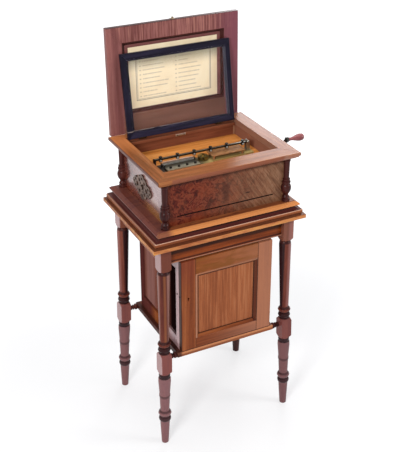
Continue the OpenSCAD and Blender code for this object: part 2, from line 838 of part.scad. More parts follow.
// pocket for a glass hinge in the glazed lid's back rail
module glass_pocket(x) {
    box([x - 1.7*glass_knuckle, glass_hy - glass_hinge_r - run, glass_z0 - 1],
        [x + 1.7*glass_knuckle, glass_hy + 2, glass_z1 + 1]);
}

module glass_frame() {
    b = glass_bar;
    t = glass_t;
    profile = [[0, 1.5], [1.5, 0], [b - pane_in - 5, 0], [b - pane_in, 2.5], [b - pane_in, 5], [b, 5], [b, 8],
        [b - 4, t], [0, t]];
    color(c_black) open_glass() difference() {
        translate([0, (glass_y0 + glass_y1)/2, glass_z0]) mitred_frame(glass_w, glass_l, profile, b, 30);
        for (s = [-1, 1]) glass_pocket(s*glass_hinge_x);
    }
}

module glass_pane() {
    edge = glass_bar - pane_in + fit;
    z1 = glass_z0 + 5 - fit;
    color(c_glass) open_glass() box([-glass_w/2 + edge, glass_y0 + edge, z1 - pane_t],
        [glass_w/2 - edge, glass_y1 - edge, z1]);
}

module glass_hinge_fixed() {
    half = glass_knuckle*1.5;
    back = rim_d/2 - rim_back - fit;
    color(c_brass) for (s = [-1, 1]) translate([s*glass_hinge_x, 0, 0]) union() {
        for (x0 = [-half, glass_knuckle/2]) {
            bar_along_x(x0, x0 + glass_knuckle, glass_hy, glass_hz, glass_hinge_r);
            box([x0, glass_hy, glass_hz - 2.4], [x0 + glass_knuckle, back, glass_hz - 1]);
        }
        box([-half, back - 1.4, rest_z + fit], [half, back, glass_hz - 1]);
        bar_along_x(-half, half, glass_hy, glass_hz, glass_pin_r);
    }
}

module glass_hinge_moving() {
    h = glass_knuckle - 2*run;
    y0 = glass_hy - glass_hinge_r - run + fit;
    color(c_brass) open_glass() for (s = [-1, 1]) translate([s*glass_hinge_x, 0, 0]) difference() {
        union() {
            bar_along_x(-h/2, h/2, glass_hy, glass_hz, glass_hinge_r);
            box([-h/2, y0, glass_z0 + 1], [h/2, y0 + 1.4, glass_z1]);
        }
        bar_along_x(-h, h, glass_hy, glass_hz, glass_pin_r + bore);
    }
}

module deck() {
    color(c_deck) difference() {
        slab(2*(room_x - fit), 2*(room_y - fit), deck_z - deck_t, deck_z);
        translate([0, 0, deck_z - deck_t - 1]) cylinder(h = deck_t + 2, r = 2*shaft_r, $fn = round_fn);
    }
}

// iron bed with the comb's bolster and the brackets of the star wheels
module bedplate() {
    x0 = comb_x0 - 6;
    x1 = comb_right + 6;
    color(c_iron) difference() {
        union() {
            box([-bed_x, bed_y0, deck_z + fit], [bed_step_x, bed_y1, bed_z]);
            box([bed_step_x - lap, bed_step_y, deck_z + fit], [bed_x, bed_y1, bed_z]);
            box([x0, comb_heel, bed_z - lap], [x1, comb_root - 2, comb_z]);
            for (x = [comb_x0 - 7, comb_right + 3])
                box([x, star_y - 4, bed_z - lap], [x + 4, star_y + 4, star_z + 4]);
        }
        translate([0, 0, deck_z - 1]) cylinder(h = 20, r = shaft_r + bore, $fn = round_fn);
        bar_along_x(comb_x0 - 20, comb_right + 20, star_y, star_z, star_shaft + bore);
    }
}

// comb with thin slots between its teeth
module comb() {
    x0 = comb_x0 - 4;
    x1 = comb_right + 4;
    color(c_steel) difference() {
        box([x0, comb_heel, comb_z + fit], [x1, comb_tip, comb_z + comb_t]);
        for (i = [0 : comb_teeth])
            translate([comb_x0 + i*tooth_pitch - 0.6, comb_root, comb_z - 1]) cube([1.2, 60, comb_t + 2]);
        box([x0 - 1, comb_root, comb_z - 1], [comb_x0, comb_tip + 1, comb_z + comb_t + 1]);
        box([comb_right, comb_root, comb_z - 1], [x1 + 1, comb_tip + 1, comb_z + comb_t + 1]);
    }
}

module comb_screws() {
    span = comb_right - comb_x0;
    z = comb_z + comb_t + fit;
    color(c_iron) for (i = [0 : 3]) translate([comb_x0 + span*(0.1 + 0.27*i), -31, z]) difference() {
        cylinder(h = 4, r = 4.5, $fn = round_fn);
        box([-5, -0.6, 2.6], [5, 0.6, 5]);
    }
}

// shaft with one six-pointed wheel over each comb tooth
module star_wheels() {
    x0 = comb_x0 - 7;
    x1 = comb_right + 7;
    points = [for (i = [0 : 11]) [cos(30*i), sin(30*i)]*(i % 2 == 0 ? star_r : star_hub)];
    color(c_steel) union() {
        bar_along_x(x0, x1, star_y, star_z, star_shaft);
        for (i = [0 : comb_teeth - 1])
            translate([comb_x0 + (i + 0.5)*tooth_pitch - 0.7, star_y, star_z]) rotate([90, 0, 90])
                linear_extrude(1.4) polygon(points);
    }
}

// plate on four posts over the right-hand half of the bed
module motor_cover() {
    y1 = bed_y1;
    color(c_dark) union() {
        box([cover_x0, cover_y0, cover_z], [cover_x1, y1, cover_z + cover_t]);
        for (x = [cover_x0 + 8, cover_x1 - 8], y = [cover_y0 + 8, y1 - 8])
            translate([x, y, bed_z + fit]) cylinder(h = cover_z - bed_z, r = 4, $fn = round_fn);
    }
}

// middles of the six knobs and rollers
knob_xs = [for (i = [0 : 5]) (i - 2.5)*knob_pitch];

module bar_beam() {
    color(c_black) difference() {
        union() {
            box([bar_left, bar_y0, bar_z0], [bar_hx, bar_y1, bar_z0 + bar_t]);
            bar_along_y(bar_y0, bar_y1, bar_hx, bar_hz, bar_eye);
            for (x = knob_xs, s = [-1, 1]) {
                x0 = x + s*(roller_w/2 + run + fork_t/2) - fork_t/2;
                box([x0, bar_y0 + 1, roller_z - 2.4], [x0 + fork_t, bar_y1 - 1, bar_z0 + lap]);
            }
        }
        bar_along_y(bar_y0 - 1, bar_y1 + 1, bar_hx, bar_hz, bar_pin + bore);
        for (x = knob_xs) {
            half = roller_w/2 + run;
            box([x - half, bar_y0 - 1, bar_z0 - lap], [x + half, bar_y1 + 1, bar_z0 + 1.5]);
            bar_along_x(x - roller_w, x + roller_w, (bar_y0 + bar_y1)/2, roller_z, axle_r + bore);
        }
    }
}

module bar_knobs() {
    z0 = bar_z0 + bar_t + fit;
    h = knob_h - fit;
    color(c_iron) for (x = knob_xs) translate([x, (bar_y0 + bar_y1)/2, z0])
        turned([[0, 0], [3.5, 0], [3.5, h*0.25], [knob_r, h*0.4], [knob_r, h*0.85], [knob_r*0.7, h], [0, h]]);
}

// rollers that press on the disc, each with its own short axle
module rollers() {
    y = (bar_y0 + bar_y1)/2;
    color(c_steel) for (x = knob_xs) union() {
        bar_along_x(x - roller_w/2, x + roller_w/2, y, roller_z, roller_r);
        bar_along_x(x - roller_w/2 - run - fork_t, x + roller_w/2 + run + fork_t, y, roller_z, axle_r);
    }
}

// bracket with the pin on which the pressure bar lifts
module bar_bracket() {
    color(c_steel) union() {
        box([bar_hx - 8, bar_y0 - 5, bed_z + fit], [bar_hx + 8, bar_y1 + 5, bed_z + 4]);
        for (y = [bar_y0 - run - 3, bar_y1 + run]) {
            box([bar_hx - 6, y, bed_z + 3], [bar_hx + 6, y + 3, bar_hz]);
            bar_along_y(y, y + 3, bar_hx, bar_hz, 6);
        }
        bar_along_y(bar_y0 - 6, bar_y1 + 6, bar_hx, bar_hz, bar_pin);
    }
}

// post that the bar's free end rests on
module bar_rest() {
    color(c_iron) union() {
        box([bar_left - 4, bar_y0 - 3, bed_z + fit], [bar_left + 8, bar_y1 + 3, bed_z + 4]);
        box([bar_left - 1, bar_y0 + 2, bed_z + 3], [bar_left + 6, bar_y1 - 2, bar_z0 - 0.2]);
        box([bar_left - 3, bar_y0 + 1, bed_z + 3], [bar_left - run, bar_y1 - 1, bar_z0 + bar_t + 2]);
    }
}

// drive hub with its shaft, spindle and drive pins
module hub() {
    color(c_brass) union() {
        translate([0, 0, wall_z0 + foot_floor + fit])
            cylinder(h = hub_z0 - wall_z0 - foot_floor, r = shaft_r, $fn = round_fn);
        translate([0, 0, hub_z0]) cylinder(h = hub_z1 - hub_z0, r = hub_r, $fn = round_fn);
        translate([0, 0, hub_z1 - lap]) cylinder(h = 8, r = spindle_r, $fn = round_fn);
        for (a = [90, 210, 330])
            translate([13*cos(a), 13*sin(a), hub_z1 - lap]) cylinder(h = 4, r = 1.5, $fn = round_fn);
    }
}

// crown wheel under the deck, with upright teeth
module crown_wheel() {
    pitch = 2*PI*crown_pr/crown_teeth;
    half = pitch*tooth_frac/2;
    top = half - gear_add*flank;
    low = half + gear_ded*flank;
    h = gear_add + gear_ded;
    color(c_brass) difference() {
        union() {
            translate([0, 0, crown_root - crown_t])
                cylinder(h = crown_t, r = crown_pr + gear_half, $fn = round_fn);
            translate([0, 0, crown_root - crown_t - 6]) cylinder(h = crown_t + 8, r = 12, $fn = round_fn);
            for (i = [0 : crown_teeth - 1]) rotate(360*i/crown_teeth)
                translate([crown_pr - gear_half + 0.5, 0, crown_root - lap]) rotate([90, 0, 90])
                    linear_extrude(2*gear_half - 1)
                        polygon([[-low, 0], [low, 0], [low, lap], [top, h + lap], [-top, h + lap],
                            [-low, lap]]);
        }
        translate([0, 0, crown_root - 20]) cylinder(h = 40, r = shaft_r + fit/4, $fn = round_fn);
        for (a = [0 : 72 : 288]) rotate(a + 36)
            translate([crown_pr*0.55, 0, crown_root - 20]) cylinder(h = 40, r = 13, $fn = round_fn);
    }
}

// foot bearing on the floor of the case
module hub_foot() {
    color(c_iron) difference() {
        translate([0, 0, wall_z0 + fit]) cylinder(h = foot_h, r = foot_r, $fn = round_fn);
        translate([0, 0, wall_z0 + foot_floor]) cylinder(h = foot_h, r = shaft_r + bore, $fn = round_fn);
    }
}

// pinion tooth outline about its axis, pointing along +X of the drawing plane
function pinion_tooth() =
    let(half = PI*gear_m*tooth_frac/2, r0 = pinion_pr - gear_ded, r1 = pinion_pr + gear_add)
    [[r0 - 1, -half - gear_ded*flank], [r0, -half - gear_ded*flank], [pinion_pr, -half],
        [r1, -half + gear_add*flank*1.3], [r1, half - gear_add*flank*1.3], [pinion_pr, half],
        [r0, half + gear_ded*flank], [r0 - 1, half + gear_ded*flank]];

// crank shaft with its pinion and collars
module crank_shaft() {
    x0 = crown_pr - gear_half - 3;
    color(c_steel) union() {
        bar_along_x(x0, arm_x + arm_t, 0, shaft_z, shaft_r);
        translate([crown_pr - gear_half - 1, 0, shaft_z]) rotate([90, 0, 90]) union() {
            cylinder(h = 2*gear_half + 2, r = pinion_pr - gear_ded, $fn = round_fn);
            for (i = [0 : pinion_n - 1]) rotate(360*(i + 0.5)/pinion_n - 90)
                linear_extrude(2*gear_half + 2) polygon(pinion_tooth());
        }
        bar_along_x(crown_pr + 20 + 12 + run, crown_pr + 20 + 18, 0, shaft_z, 8.5);
        bar_along_x(room_x - 8, room_x - run - 1, 0, shaft_z, 8.5);
    }
}

// inner bearing under the deck
module shaft_bearing() {
    x0 = crown_pr + 20;
    color(c_iron) difference() {
        union() {
            box([x0, -14, shaft_z], [x0 + 12, 14, deck_z - deck_t - fit]);
            bar_along_x(x0, x0 + 12, 0, shaft_z, 14);
        }
        bar_along_x(x0 - 1, x0 + 13, 0, shaft_z, shaft_r + bore);
    }
}

// bush with a flange in the right wall
module crank_bush() {
    color(c_brass) difference() {
        union() {
            bar_along_x(room_x - 1, wall_x + 2, 0, shaft_z, 2*shaft_r);
            bar_along_x(wall_x + fit, wall_x + 5, 0, shaft_z, 17);
        }
        bar_along_x(room_x - 3, wall_x + 8, 0, shaft_z, shaft_r + bore);
    }
}

// crank arm with the pin of its grip
module crank_arm() {
    x1 = arm_x + arm_t;
    color(c_iron) difference() {
        union() {
            translate([arm_x, 0, shaft_z]) rotate([crank_lean, 0, 0]) {
                box([1, -7, 0], [arm_t - 1, 7, crank_r]);
                bar_along_x(0, arm_t, 0, 0, boss_r);
                bar_along_x(0, arm_t, 0, crank_r, tip_r);
            }
            bar_along_x(x1 - 1, x1 + grip_l*0.75, handle_y, handle_z, grip_pin);
        }
        bar_along_x(arm_x - 1, x1 + 1, 0, shaft_z, shaft_r + fit/4);
    }
}

// pear-shaped grip that turns on its pin
module crank_grip() {
    l = grip_l;
    color(c_dark) translate([arm_x + arm_t + run, handle_y, handle_z]) rotate([0, 90, 0]) difference() {
        turned([[0, 0], [5.6, 0], [6.4, l*0.04], [6.4, l*0.1], [5.6, l*0.14], [6.2, l*0.25], [8.6, l*0.4],
            [11.2, l*0.55], [12.8, l*0.68], [grip_max, l*0.76], [12.6, l*0.84], [11, l*0.92], [8, l*0.965],
            [4, l*0.992], [0, l]]);
        translate([0, 0, -1]) cylinder(h = l*0.75 + 1 + run, r = grip_pin + bore, $fn = round_fn);
    }
}

place() leg_front_left();
place() leg_front_right();
place() leg_back_left();
place() leg_back_right();
place() table_top();
place() aprons_long();
place() aprons_short();
place() pegs();
place() cabinet_board();
place() cabinet_sides();
place() cabinet_panels();
place() cabinet_back();
place() door_frame();
place() door_panel();
place() door_moulding();
place() door_lock();
place() door_hinge_fixed();
place() door_hinge_moving();
place() case_plinth();
place() base_moulding();
place() case_floor();
place() case_front();
place() case_back();
place() case_left();
place() case_right();
place() columns();
place() rim();
place() side_ornament();
place() glass_rests();
place() lid_frame();
place() lid_panel();
place() lid_moulding();
place() tune_sheet();
place() lid_catch();
place() lid_hinge_fixed();
place() lid_hinge_moving();
place() glass_frame();
place() glass_pane();
place() glass_hinge_fixed();
place() glass_hinge_moving();
place() deck();
place() bedplate();
place() comb();
place() comb_screws();
place() star_wheels();
place() motor_cover();
place() bar_beam();
place() bar_knobs();
place() rollers();
place() bar_bracket();
place() bar_rest();
place() hub();
place() crown_wheel();
place() hub_foot();
place() crank_shaft();
place() shaft_bearing();
place() crank_bush();
place() crank_arm();
place() crank_grip();
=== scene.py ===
import math
from types import SimpleNamespace

import bpy
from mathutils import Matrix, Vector


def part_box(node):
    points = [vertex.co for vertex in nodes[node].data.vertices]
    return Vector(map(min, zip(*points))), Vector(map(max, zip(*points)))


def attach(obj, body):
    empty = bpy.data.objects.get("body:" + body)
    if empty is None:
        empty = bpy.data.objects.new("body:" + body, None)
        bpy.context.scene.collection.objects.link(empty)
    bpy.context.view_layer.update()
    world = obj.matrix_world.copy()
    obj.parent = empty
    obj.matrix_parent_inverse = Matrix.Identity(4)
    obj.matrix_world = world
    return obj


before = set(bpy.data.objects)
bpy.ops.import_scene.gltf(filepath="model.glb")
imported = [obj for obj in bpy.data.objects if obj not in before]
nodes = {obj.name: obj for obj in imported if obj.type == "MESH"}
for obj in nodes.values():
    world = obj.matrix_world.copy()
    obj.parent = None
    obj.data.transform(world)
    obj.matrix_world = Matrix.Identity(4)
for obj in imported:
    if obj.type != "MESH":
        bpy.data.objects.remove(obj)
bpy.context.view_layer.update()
scene = bpy.context.scene

# places are in millimetres, from the middle of the table top in plan and from the floor in height
PER_METRE = 1000.0
table_lo, table_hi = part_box("table_top")
CX, CY = (table_lo.x + table_hi.x) / 2, (table_lo.y + table_hi.y) / 2


def at(x, y, z):
    """Point of the frame, in metres."""
    return Vector((x / PER_METRE + CX, y / PER_METRE + CY, z / PER_METRE))


def edges(node):
    """Limits of a CAD node's box."""
    lo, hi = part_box(node)
    return SimpleNamespace(left=(lo.x - CX) * PER_METRE, right=(hi.x - CX) * PER_METRE,
                           front=(lo.y - CY) * PER_METRE, back=(hi.y - CY) * PER_METRE,
                           low=lo.z * PER_METRE, high=hi.z * PER_METRE)


def add(name, data):
    """New object in the scene."""
    obj = bpy.data.objects.new(name, data)
    scene.collection.objects.link(obj)
    return obj


# gap that the CAD leaves between the pieces of a body
FIT = 0.1
# inner faces of the walls of the well, right and back
WELL_X, WELL_Y = edges("case_right").left, edges("case_back").front


class Graph:
    """A node tree, with short calls for the nodes used here."""

    def __init__(self, tree):
        self.tree = tree

    def node(self, kind, **props):
        made = self.tree.nodes.new(kind)
        for key, value in props.items():
            setattr(made, key, value)
        return made

    def put(self, socket, value):
        """Links the socket, or sets its own value."""
        if isinstance(value, bpy.types.NodeSocket):
            self.tree.links.new(value, socket)
        elif socket.type == "RGBA":
            socket.default_value = (*value, 1)
        else:
            socket.default_value = value

    def math(self, op, a, b=0.0):
        made = self.node("ShaderNodeMath", operation=op)
        self.put(made.inputs[0], a)
        self.put(made.inputs[1], b)
        return made.outputs[0]

    def weigh(self, value, amount):
        return self.math("MULTIPLY", value, amount)

    def both(self, first, *others):
        """Product of masks, 1 where all of them are 1."""
        for other in others:
            first = self.math("MULTIPLY", first, other)
        return first

    def either(self, first, *others):
        """Largest of the masks."""
        for other in others:
            first = self.math("MAXIMUM", first, other)
        return first

    def off(self, value, middle):
        """Distance of a value from the middle."""
        return self.math("ABSOLUTE", self.math("SUBTRACT", value, middle))

    def band(self, value, low, high):
        """0 at low, 1 at high, smooth between."""
        made = self.node("ShaderNodeMapRange", interpolation_type="SMOOTHSTEP")
        self.put(made.inputs["Value"], value)
        made.inputs["From Min"].default_value = low
        made.inputs["From Max"].default_value = high
        return made.outputs["Result"]

    def within(self, value, low, high, soft):
        """1 between low and high, falling to 0 over soft outside them."""
        return self.both(self.band(value, low - soft, low), self.band(value, high + soft, high))

    def join(self, x, y, z):
        made = self.node("ShaderNodeCombineXYZ")
        for socket, value in zip(made.inputs, (x, y, z)):
            self.put(socket, value)
        return made.outputs[0]

    def noise(self, vector, scale, detail=4.0, rough=0.55, twist=0.0):
        made = self.node("ShaderNodeTexNoise")
        self.put(made.inputs["Vector"], vector)
        made.inputs["Scale"].default_value = scale
        made.inputs["Detail"].default_value = detail
        made.inputs["Roughness"].default_value = rough
        made.inputs["Distortion"].default_value = twist
        return made.outputs["Fac"]

    def cells(self, vector, scale):
        made = self.node("ShaderNodeTexVoronoi")
        self.put(made.inputs["Vector"], vector)
        made.inputs["Scale"].default_value = scale
        return made.outputs["Distance"]

    def ramp(self, value, stops):
        made = self.node("ShaderNodeValToRGB")
        self.put(made.inputs[0], value)
        items = made.color_ramp.elements
        while len(items) < len(stops):
            items.new(0.5)
        for item, (position, colour) in zip(items, stops):
            item.position = position
            item.color = (*colour, 1)
        return made.outputs["Color"]

    def mix(self, share, first, second):
        made = self.node("ShaderNodeMix", data_type="RGBA")
        self.put(made.inputs["Factor"], share)
        self.put(made.inputs[6], first)
        self.put(made.inputs[7], second)
        return made.outputs[2]

    def lay(self, base, colour, amount, *masks):
        """Colour laid over base where all the masks are 1, as thick as amount."""
        return self.mix(self.weigh(self.both(*masks), amount), base, colour)

    def light(self, kind, colour, strength):
        made = self.node(kind)
        self.put(made.inputs["Color"], colour)
        self.put(made.inputs["Strength"], strength)
        return made.outputs[0]

    def choose(self, share, first, second):
        """Shader between two others."""
        made = self.node("ShaderNodeMixShader")
        for socket, value in zip(made.inputs, (share, first, second)):
            self.put(socket, value)
        return made.outputs[0]

    def looked_at(self):
        """1 for rays from the camera, through glass and off gloss, which show the background as it is."""
        rays = self.node("ShaderNodeLightPath").outputs
        return self.either(rays["Is Camera Ray"], rays["Is Transmission Ray"], rays["Is Glossy Ray"])


class Paint(Graph):
    """A material with the principled shader, painted by the place on the object."""

    def __init__(self, name, rough=0.4, metal=0.0, gloss=0.5, coat=0.0):
        self.mat = bpy.data.materials.new(name)
        self.mat.use_nodes = True
        super().__init__(self.mat.node_tree)
        self.bsdf = self.tree.nodes["Principled BSDF"]
        self.shade("Roughness", rough)
        self.shade("Metallic", metal)
        self.shade("Specular IOR Level", gloss)
        self.shade("Coat Weight", coat)
        self.shade("Coat Roughness", 0.1)
        self.place = self.node("ShaderNodeTexCoord").outputs["Object"]

    def shade(self, socket, value):
        self.put(self.bsdf.inputs[socket], value)

    def bump(self, height, strength, distance):
        made = self.node("ShaderNodeBump")
        self.put(made.inputs["Height"], height)
        made.inputs["Strength"].default_value = strength
        made.inputs["Distance"].default_value = distance
        self.shade("Normal", made.outputs[0])

    def mapped(self, scale, shift=(0, 0, 0)):
        made = self.node("ShaderNodeMapping")
        self.put(made.inputs["Vector"], self.place)
        made.inputs["Location"].default_value = shift
        made.inputs["Scale"].default_value = scale
        return made.outputs[0]

    def plan(self):
        """Place in millimetres from the middle of the table top."""
        made = self.node("ShaderNodeSeparateXYZ")
        self.put(made.inputs[0], self.place)
        x, y, z = made.outputs
        return (self.weigh(self.math("SUBTRACT", x, CX), PER_METRE),
                self.weigh(self.math("SUBTRACT", y, CY), PER_METRE), self.weigh(z, PER_METRE))


def tint(colour, k):
    return tuple(min(1.0, c * k) for c in colour)


# tones of the woods: dark, middle and light
LEG = ((0.060, 0.011, 0.008), (0.130, 0.028, 0.017), (0.21, 0.054, 0.030))
RIM = ((0.14, 0.042, 0.013), (0.30, 0.100, 0.032), (0.46, 0.19, 0.065))
TABLE = ((0.13, 0.032, 0.011), (0.27, 0.075, 0.025), (0.42, 0.14, 0.045))
CABINET = ((0.12, 0.027, 0.009), (0.225, 0.056, 0.017), (0.33, 0.100, 0.032))
APRON = ((0.12, 0.023, 0.005), (0.225, 0.046, 0.009), (0.33, 0.083, 0.017))
PANEL = ((0.225, 0.062, 0.022), (0.30, 0.088, 0.031), (0.37, 0.120, 0.046))
SIDE_PANEL = ((0.09, 0.027, 0.019), (0.17, 0.056, 0.039), (0.25, 0.092, 0.068))
LID = ((0.165, 0.058, 0.054), (0.225, 0.082, 0.075), (0.29, 0.115, 0.102))
MOULD = ((0.03, 0.008, 0.007), (0.075, 0.019, 0.015), (0.13, 0.038, 0.026))
BURL = ((0.032, 0.004, 0.003), (0.095, 0.012, 0.007), (0.20, 0.044, 0.020))
COLUMN = ((0.022, 0.004, 0.004), (0.058, 0.012, 0.009), (0.105, 0.026, 0.018))
GRIP = ((0.12, 0.022, 0.025), (0.24, 0.062, 0.066), (0.36, 0.12, 0.12))
DECK = ((0.36, 0.12, 0.022), (0.57, 0.205, 0.045), (0.74, 0.31, 0.085))
# the cove's own dark wood, made near black for the painted shade under the base moulding
PLINTH = ((0.016, 0.004, 0.003), (0.042, 0.010, 0.008), (0.075, 0.021, 0.014))
EBONY = ((0.006, 0.005, 0.011), (0.012, 0.010, 0.022), (0.030, 0.025, 0.052))
# plain wood inside the well, and the lighter tone painted on its right side for the light that falls on it
WELL = (0.19, 0.060, 0.030)
WELL_LIT = (0.27, 0.125, 0.080)
REST = tuple(tint(WELL, k) for k in (0.7, 1.0, 1.3))

# scale along each grain direction, and a shift that gives stiles a figure of their own
GRAIN = {"x": (0.05, 1, 1), "y": (1, 0.05, 1), "z": (1, 1, 0.05)}
STILE_SHIFT = (0.7, 0.3, 0.2)
# width of the door's stiles
DOOR_STILE = edges("door_panel").left - edges("door_frame").left


def grain_vector(g, grain, node):
    """Coordinates stretched along the grain. "frame_xy" and "frame_xz" turn it at the mitres of a frame,
    "door_xz" between full-height stiles and the rails that fill their gap."""
    if grain in GRAIN:
        return g.mapped(GRAIN[grain])
    box = edges(node)
    x, y, z = g.plan()
    flat = grain == "frame_xy"
    up, low, high = (y, box.front, box.back) if flat else (z, box.low, box.high)

    def past_edge(value, start, end):
        return g.math("SUBTRACT", g.off(value, (start + end) / 2), (end - start) / 2)

    turn_at = -DOOR_STILE if grain == "door_xz" else past_edge(up, low, high)
    made = g.node("ShaderNodeMix", data_type="VECTOR")
    g.put(made.inputs["Factor"], g.math("GREATER_THAN", past_edge(x, box.left, box.right), turn_at))
    g.put(made.inputs[4], g.mapped(GRAIN["x"]))
    g.put(made.inputs[5], g.mapped(GRAIN["y" if flat else "z"], STILE_SHIFT))
    return made.outputs[1]


def wood(name, tones, grain, node=None, rough=0.28, gloss=0.08, figure=9.0, extra=None):
    """Varnished wood: growth bands, fibres and pores along the grain. node is the frame at whose joints the
    grain turns, extra paints more on the colour."""
    dark, mid, light = tones
    g = Paint(name, gloss=gloss)
    vec = grain_vector(g, grain, node)
    broad = g.noise(vec, figure, detail=5, rough=0.6, twist=0.8)
    bands = g.noise(vec, figure * 6, detail=3, rough=0.5, twist=1.4)
    fibre = g.noise(vec, figure * 45, detail=2, rough=0.6)
    pores = g.band(g.noise(vec, figure * 80, detail=1, rough=0.5), 0.62, 0.7)
    tone = g.math("ADD", g.weigh(broad, 0.6), g.weigh(bands, 0.4))
    base = g.ramp(tone, [(0.40, dark), (0.5, mid), (0.61, light)])
    base = g.lay(base, tint(dark, 0.8), 0.35, fibre)
    base = g.lay(base, tint(dark, 0.4), 0.4, pores)
    if extra:
        base = extra(g, base)
    g.shade("Base Color", base)
    g.shade("Roughness", g.math("ADD", g.weigh(fibre, 0.16), rough - 0.06))
    g.bump(g.math("SUBTRACT", fibre, g.weigh(pores, 0.8)), strength=0.12, distance=0.0004)
    return g


def burl(name, tones, plain, gloss=0.08, coat=0.0, extra=None, lined=None):
    """Burl veneer outside, with swirling figure and small eyes on the left and straighter grain on the right,
    and plain wood on the faces towards the well. extra paints more on the veneer, lined on the plain wood."""
    dark, mid, light = tones
    g = Paint(name, gloss=gloss, coat=coat)
    warp = g.noise(g.place, 9, detail=3, rough=0.5)
    warp_y = g.noise(g.mapped((1, 1, 1), shift=(3, 1, 2)), 12, detail=3)
    shift = g.node("ShaderNodeVectorMath", operation="SCALE")
    g.put(shift.inputs[0], g.join(warp, warp_y, warp))
    shift.inputs["Scale"].default_value = 0.12
    moved = g.node("ShaderNodeVectorMath", operation="ADD")
    g.put(moved.inputs[0], g.place)
    g.put(moved.inputs[1], shift.outputs[0])
    vec = moved.outputs[0]
    swirl = g.noise(vec, 38, detail=6, rough=0.64, twist=1.8)
    patch = g.band(g.noise(vec, 15, detail=3, rough=0.5, twist=0.6), 0.5, 0.66)
    eyes = g.band(g.cells(vec, 70), 0.28, 0.08)
    fine = g.noise(vec, 260, detail=3, rough=0.6)
    base = g.ramp(swirl, [(0.36, dark), (0.48, mid), (0.58, light), (0.68, mid)])
    base = g.lay(base, (0.22, 0.040, 0.013), 0.45, patch)

    x, y, z = g.plan()
    left, right = g.band(x, 120, -60), g.band(x, -130, 200)
    slant = g.join(g.math("ADD", x, g.weigh(z, 0.7)), y, g.weigh(z, 0.12))
    straight = g.ramp(g.noise(slant, 0.11, detail=4, rough=0.6, twist=0.8), [
        (0.38, (0.150, 0.070, 0.036)), (0.5, (0.235, 0.120, 0.062)), (0.62, (0.31, 0.165, 0.092))])
    base = g.lay(base, straight, 0.8, right)
    base = g.lay(base, tint(dark, 0.6), 0.55, eyes, left)
    streak = g.noise(g.mapped((1, 1, 0.3)), 110, detail=4, rough=0.65, twist=1.5)
    base = g.lay(base, (0.10, 0.034, 0.016), 0.5, g.band(streak, 0.46, 0.68))
    base = g.lay(base, tint(dark, 0.8), 0.2, fine)
    if extra:
        base = extra(g, base)

    grain = g.noise(g.mapped((0.06, 0.06, 1)), 60, detail=5, rough=0.6, twist=0.8)
    inside = g.ramp(grain, [(0.35, tint(plain, 0.75)), (0.5, plain), (0.68, tint(plain, 1.25))])
    if lined:
        inside = lined(g, inside)
    reach = 0.5
    well = g.both(g.math("LESS_THAN", g.math("ABSOLUTE", x), WELL_X + reach),
                  g.math("LESS_THAN", g.math("ABSOLUTE", y), WELL_Y + reach))
    outside = g.math("SUBTRACT", 1.0, well)
    g.shade("Base Color", g.mix(well, base, inside))
    g.shade("Roughness", g.math("ADD", g.weigh(fine, 0.04), 0.25))
    g.shade("Specular IOR Level", g.weigh(outside, gloss))
    if coat:
        g.shade("Coat Weight", g.weigh(outside, coat))
    g.bump(g.both(fine, outside), strength=0.03, distance=0.00008)
    return g


def metal(name, colour, wear_and_highlight, rough, scale=90.0, metallic=1.0, gloss=0.5, extra=None):
    """Metal with patchy tarnish and fine scratches. extra paints more on the colour."""
    g = Paint(name, metal=metallic, gloss=gloss)
    patch = g.noise(g.place, scale, detail=5, rough=0.65, twist=0.4)
    fine = g.noise(g.place, scale * 9, detail=3, rough=0.6)
    base = g.ramp(patch, [(0.35, wear_and_highlight), (0.6, colour)])
    base = g.lay(base, wear_and_highlight, 0.5, fine)
    if extra:
        base = extra(g, base)
    g.shade("Base Color", base)
    g.shade("Roughness", g.math("ADD", g.weigh(patch, 0.22), rough))
    g.bump(fine, strength=0.08, distance=0.0003)
    return g


def pane():
    """Old window glass with faint smears."""
    g = Paint("pane_glass")
    g.shade("Base Color", (1, 1, 1))
    g.shade("Transmission Weight", 1.0)
    g.shade("IOR", 1.16)
    smear = g.noise(g.place, 14, detail=4, rough=0.6, twist=1.0)
    g.shade("Roughness", g.weigh(g.band(smear, 0.5, 0.8), 0.03))
    return g


# ruled lines of the tune sheet: how far in from its edge, half width with and without their soft edge
SHEET_RULES = ((26, 1.4, 1.0), (30, 0.9, 0.5))
# left and right ends of its two columns of lines, as shares of its width
SHEET_COLUMNS = ((0.15, 0.45), (0.55, 0.84))
# rows in its height, and the part of the height that is printed
SHEET_ROWS = 14.0
SHEET_PRINTED = (0.14, 0.86)
# letters that would fit across its width
SHEET_LETTERS = 150


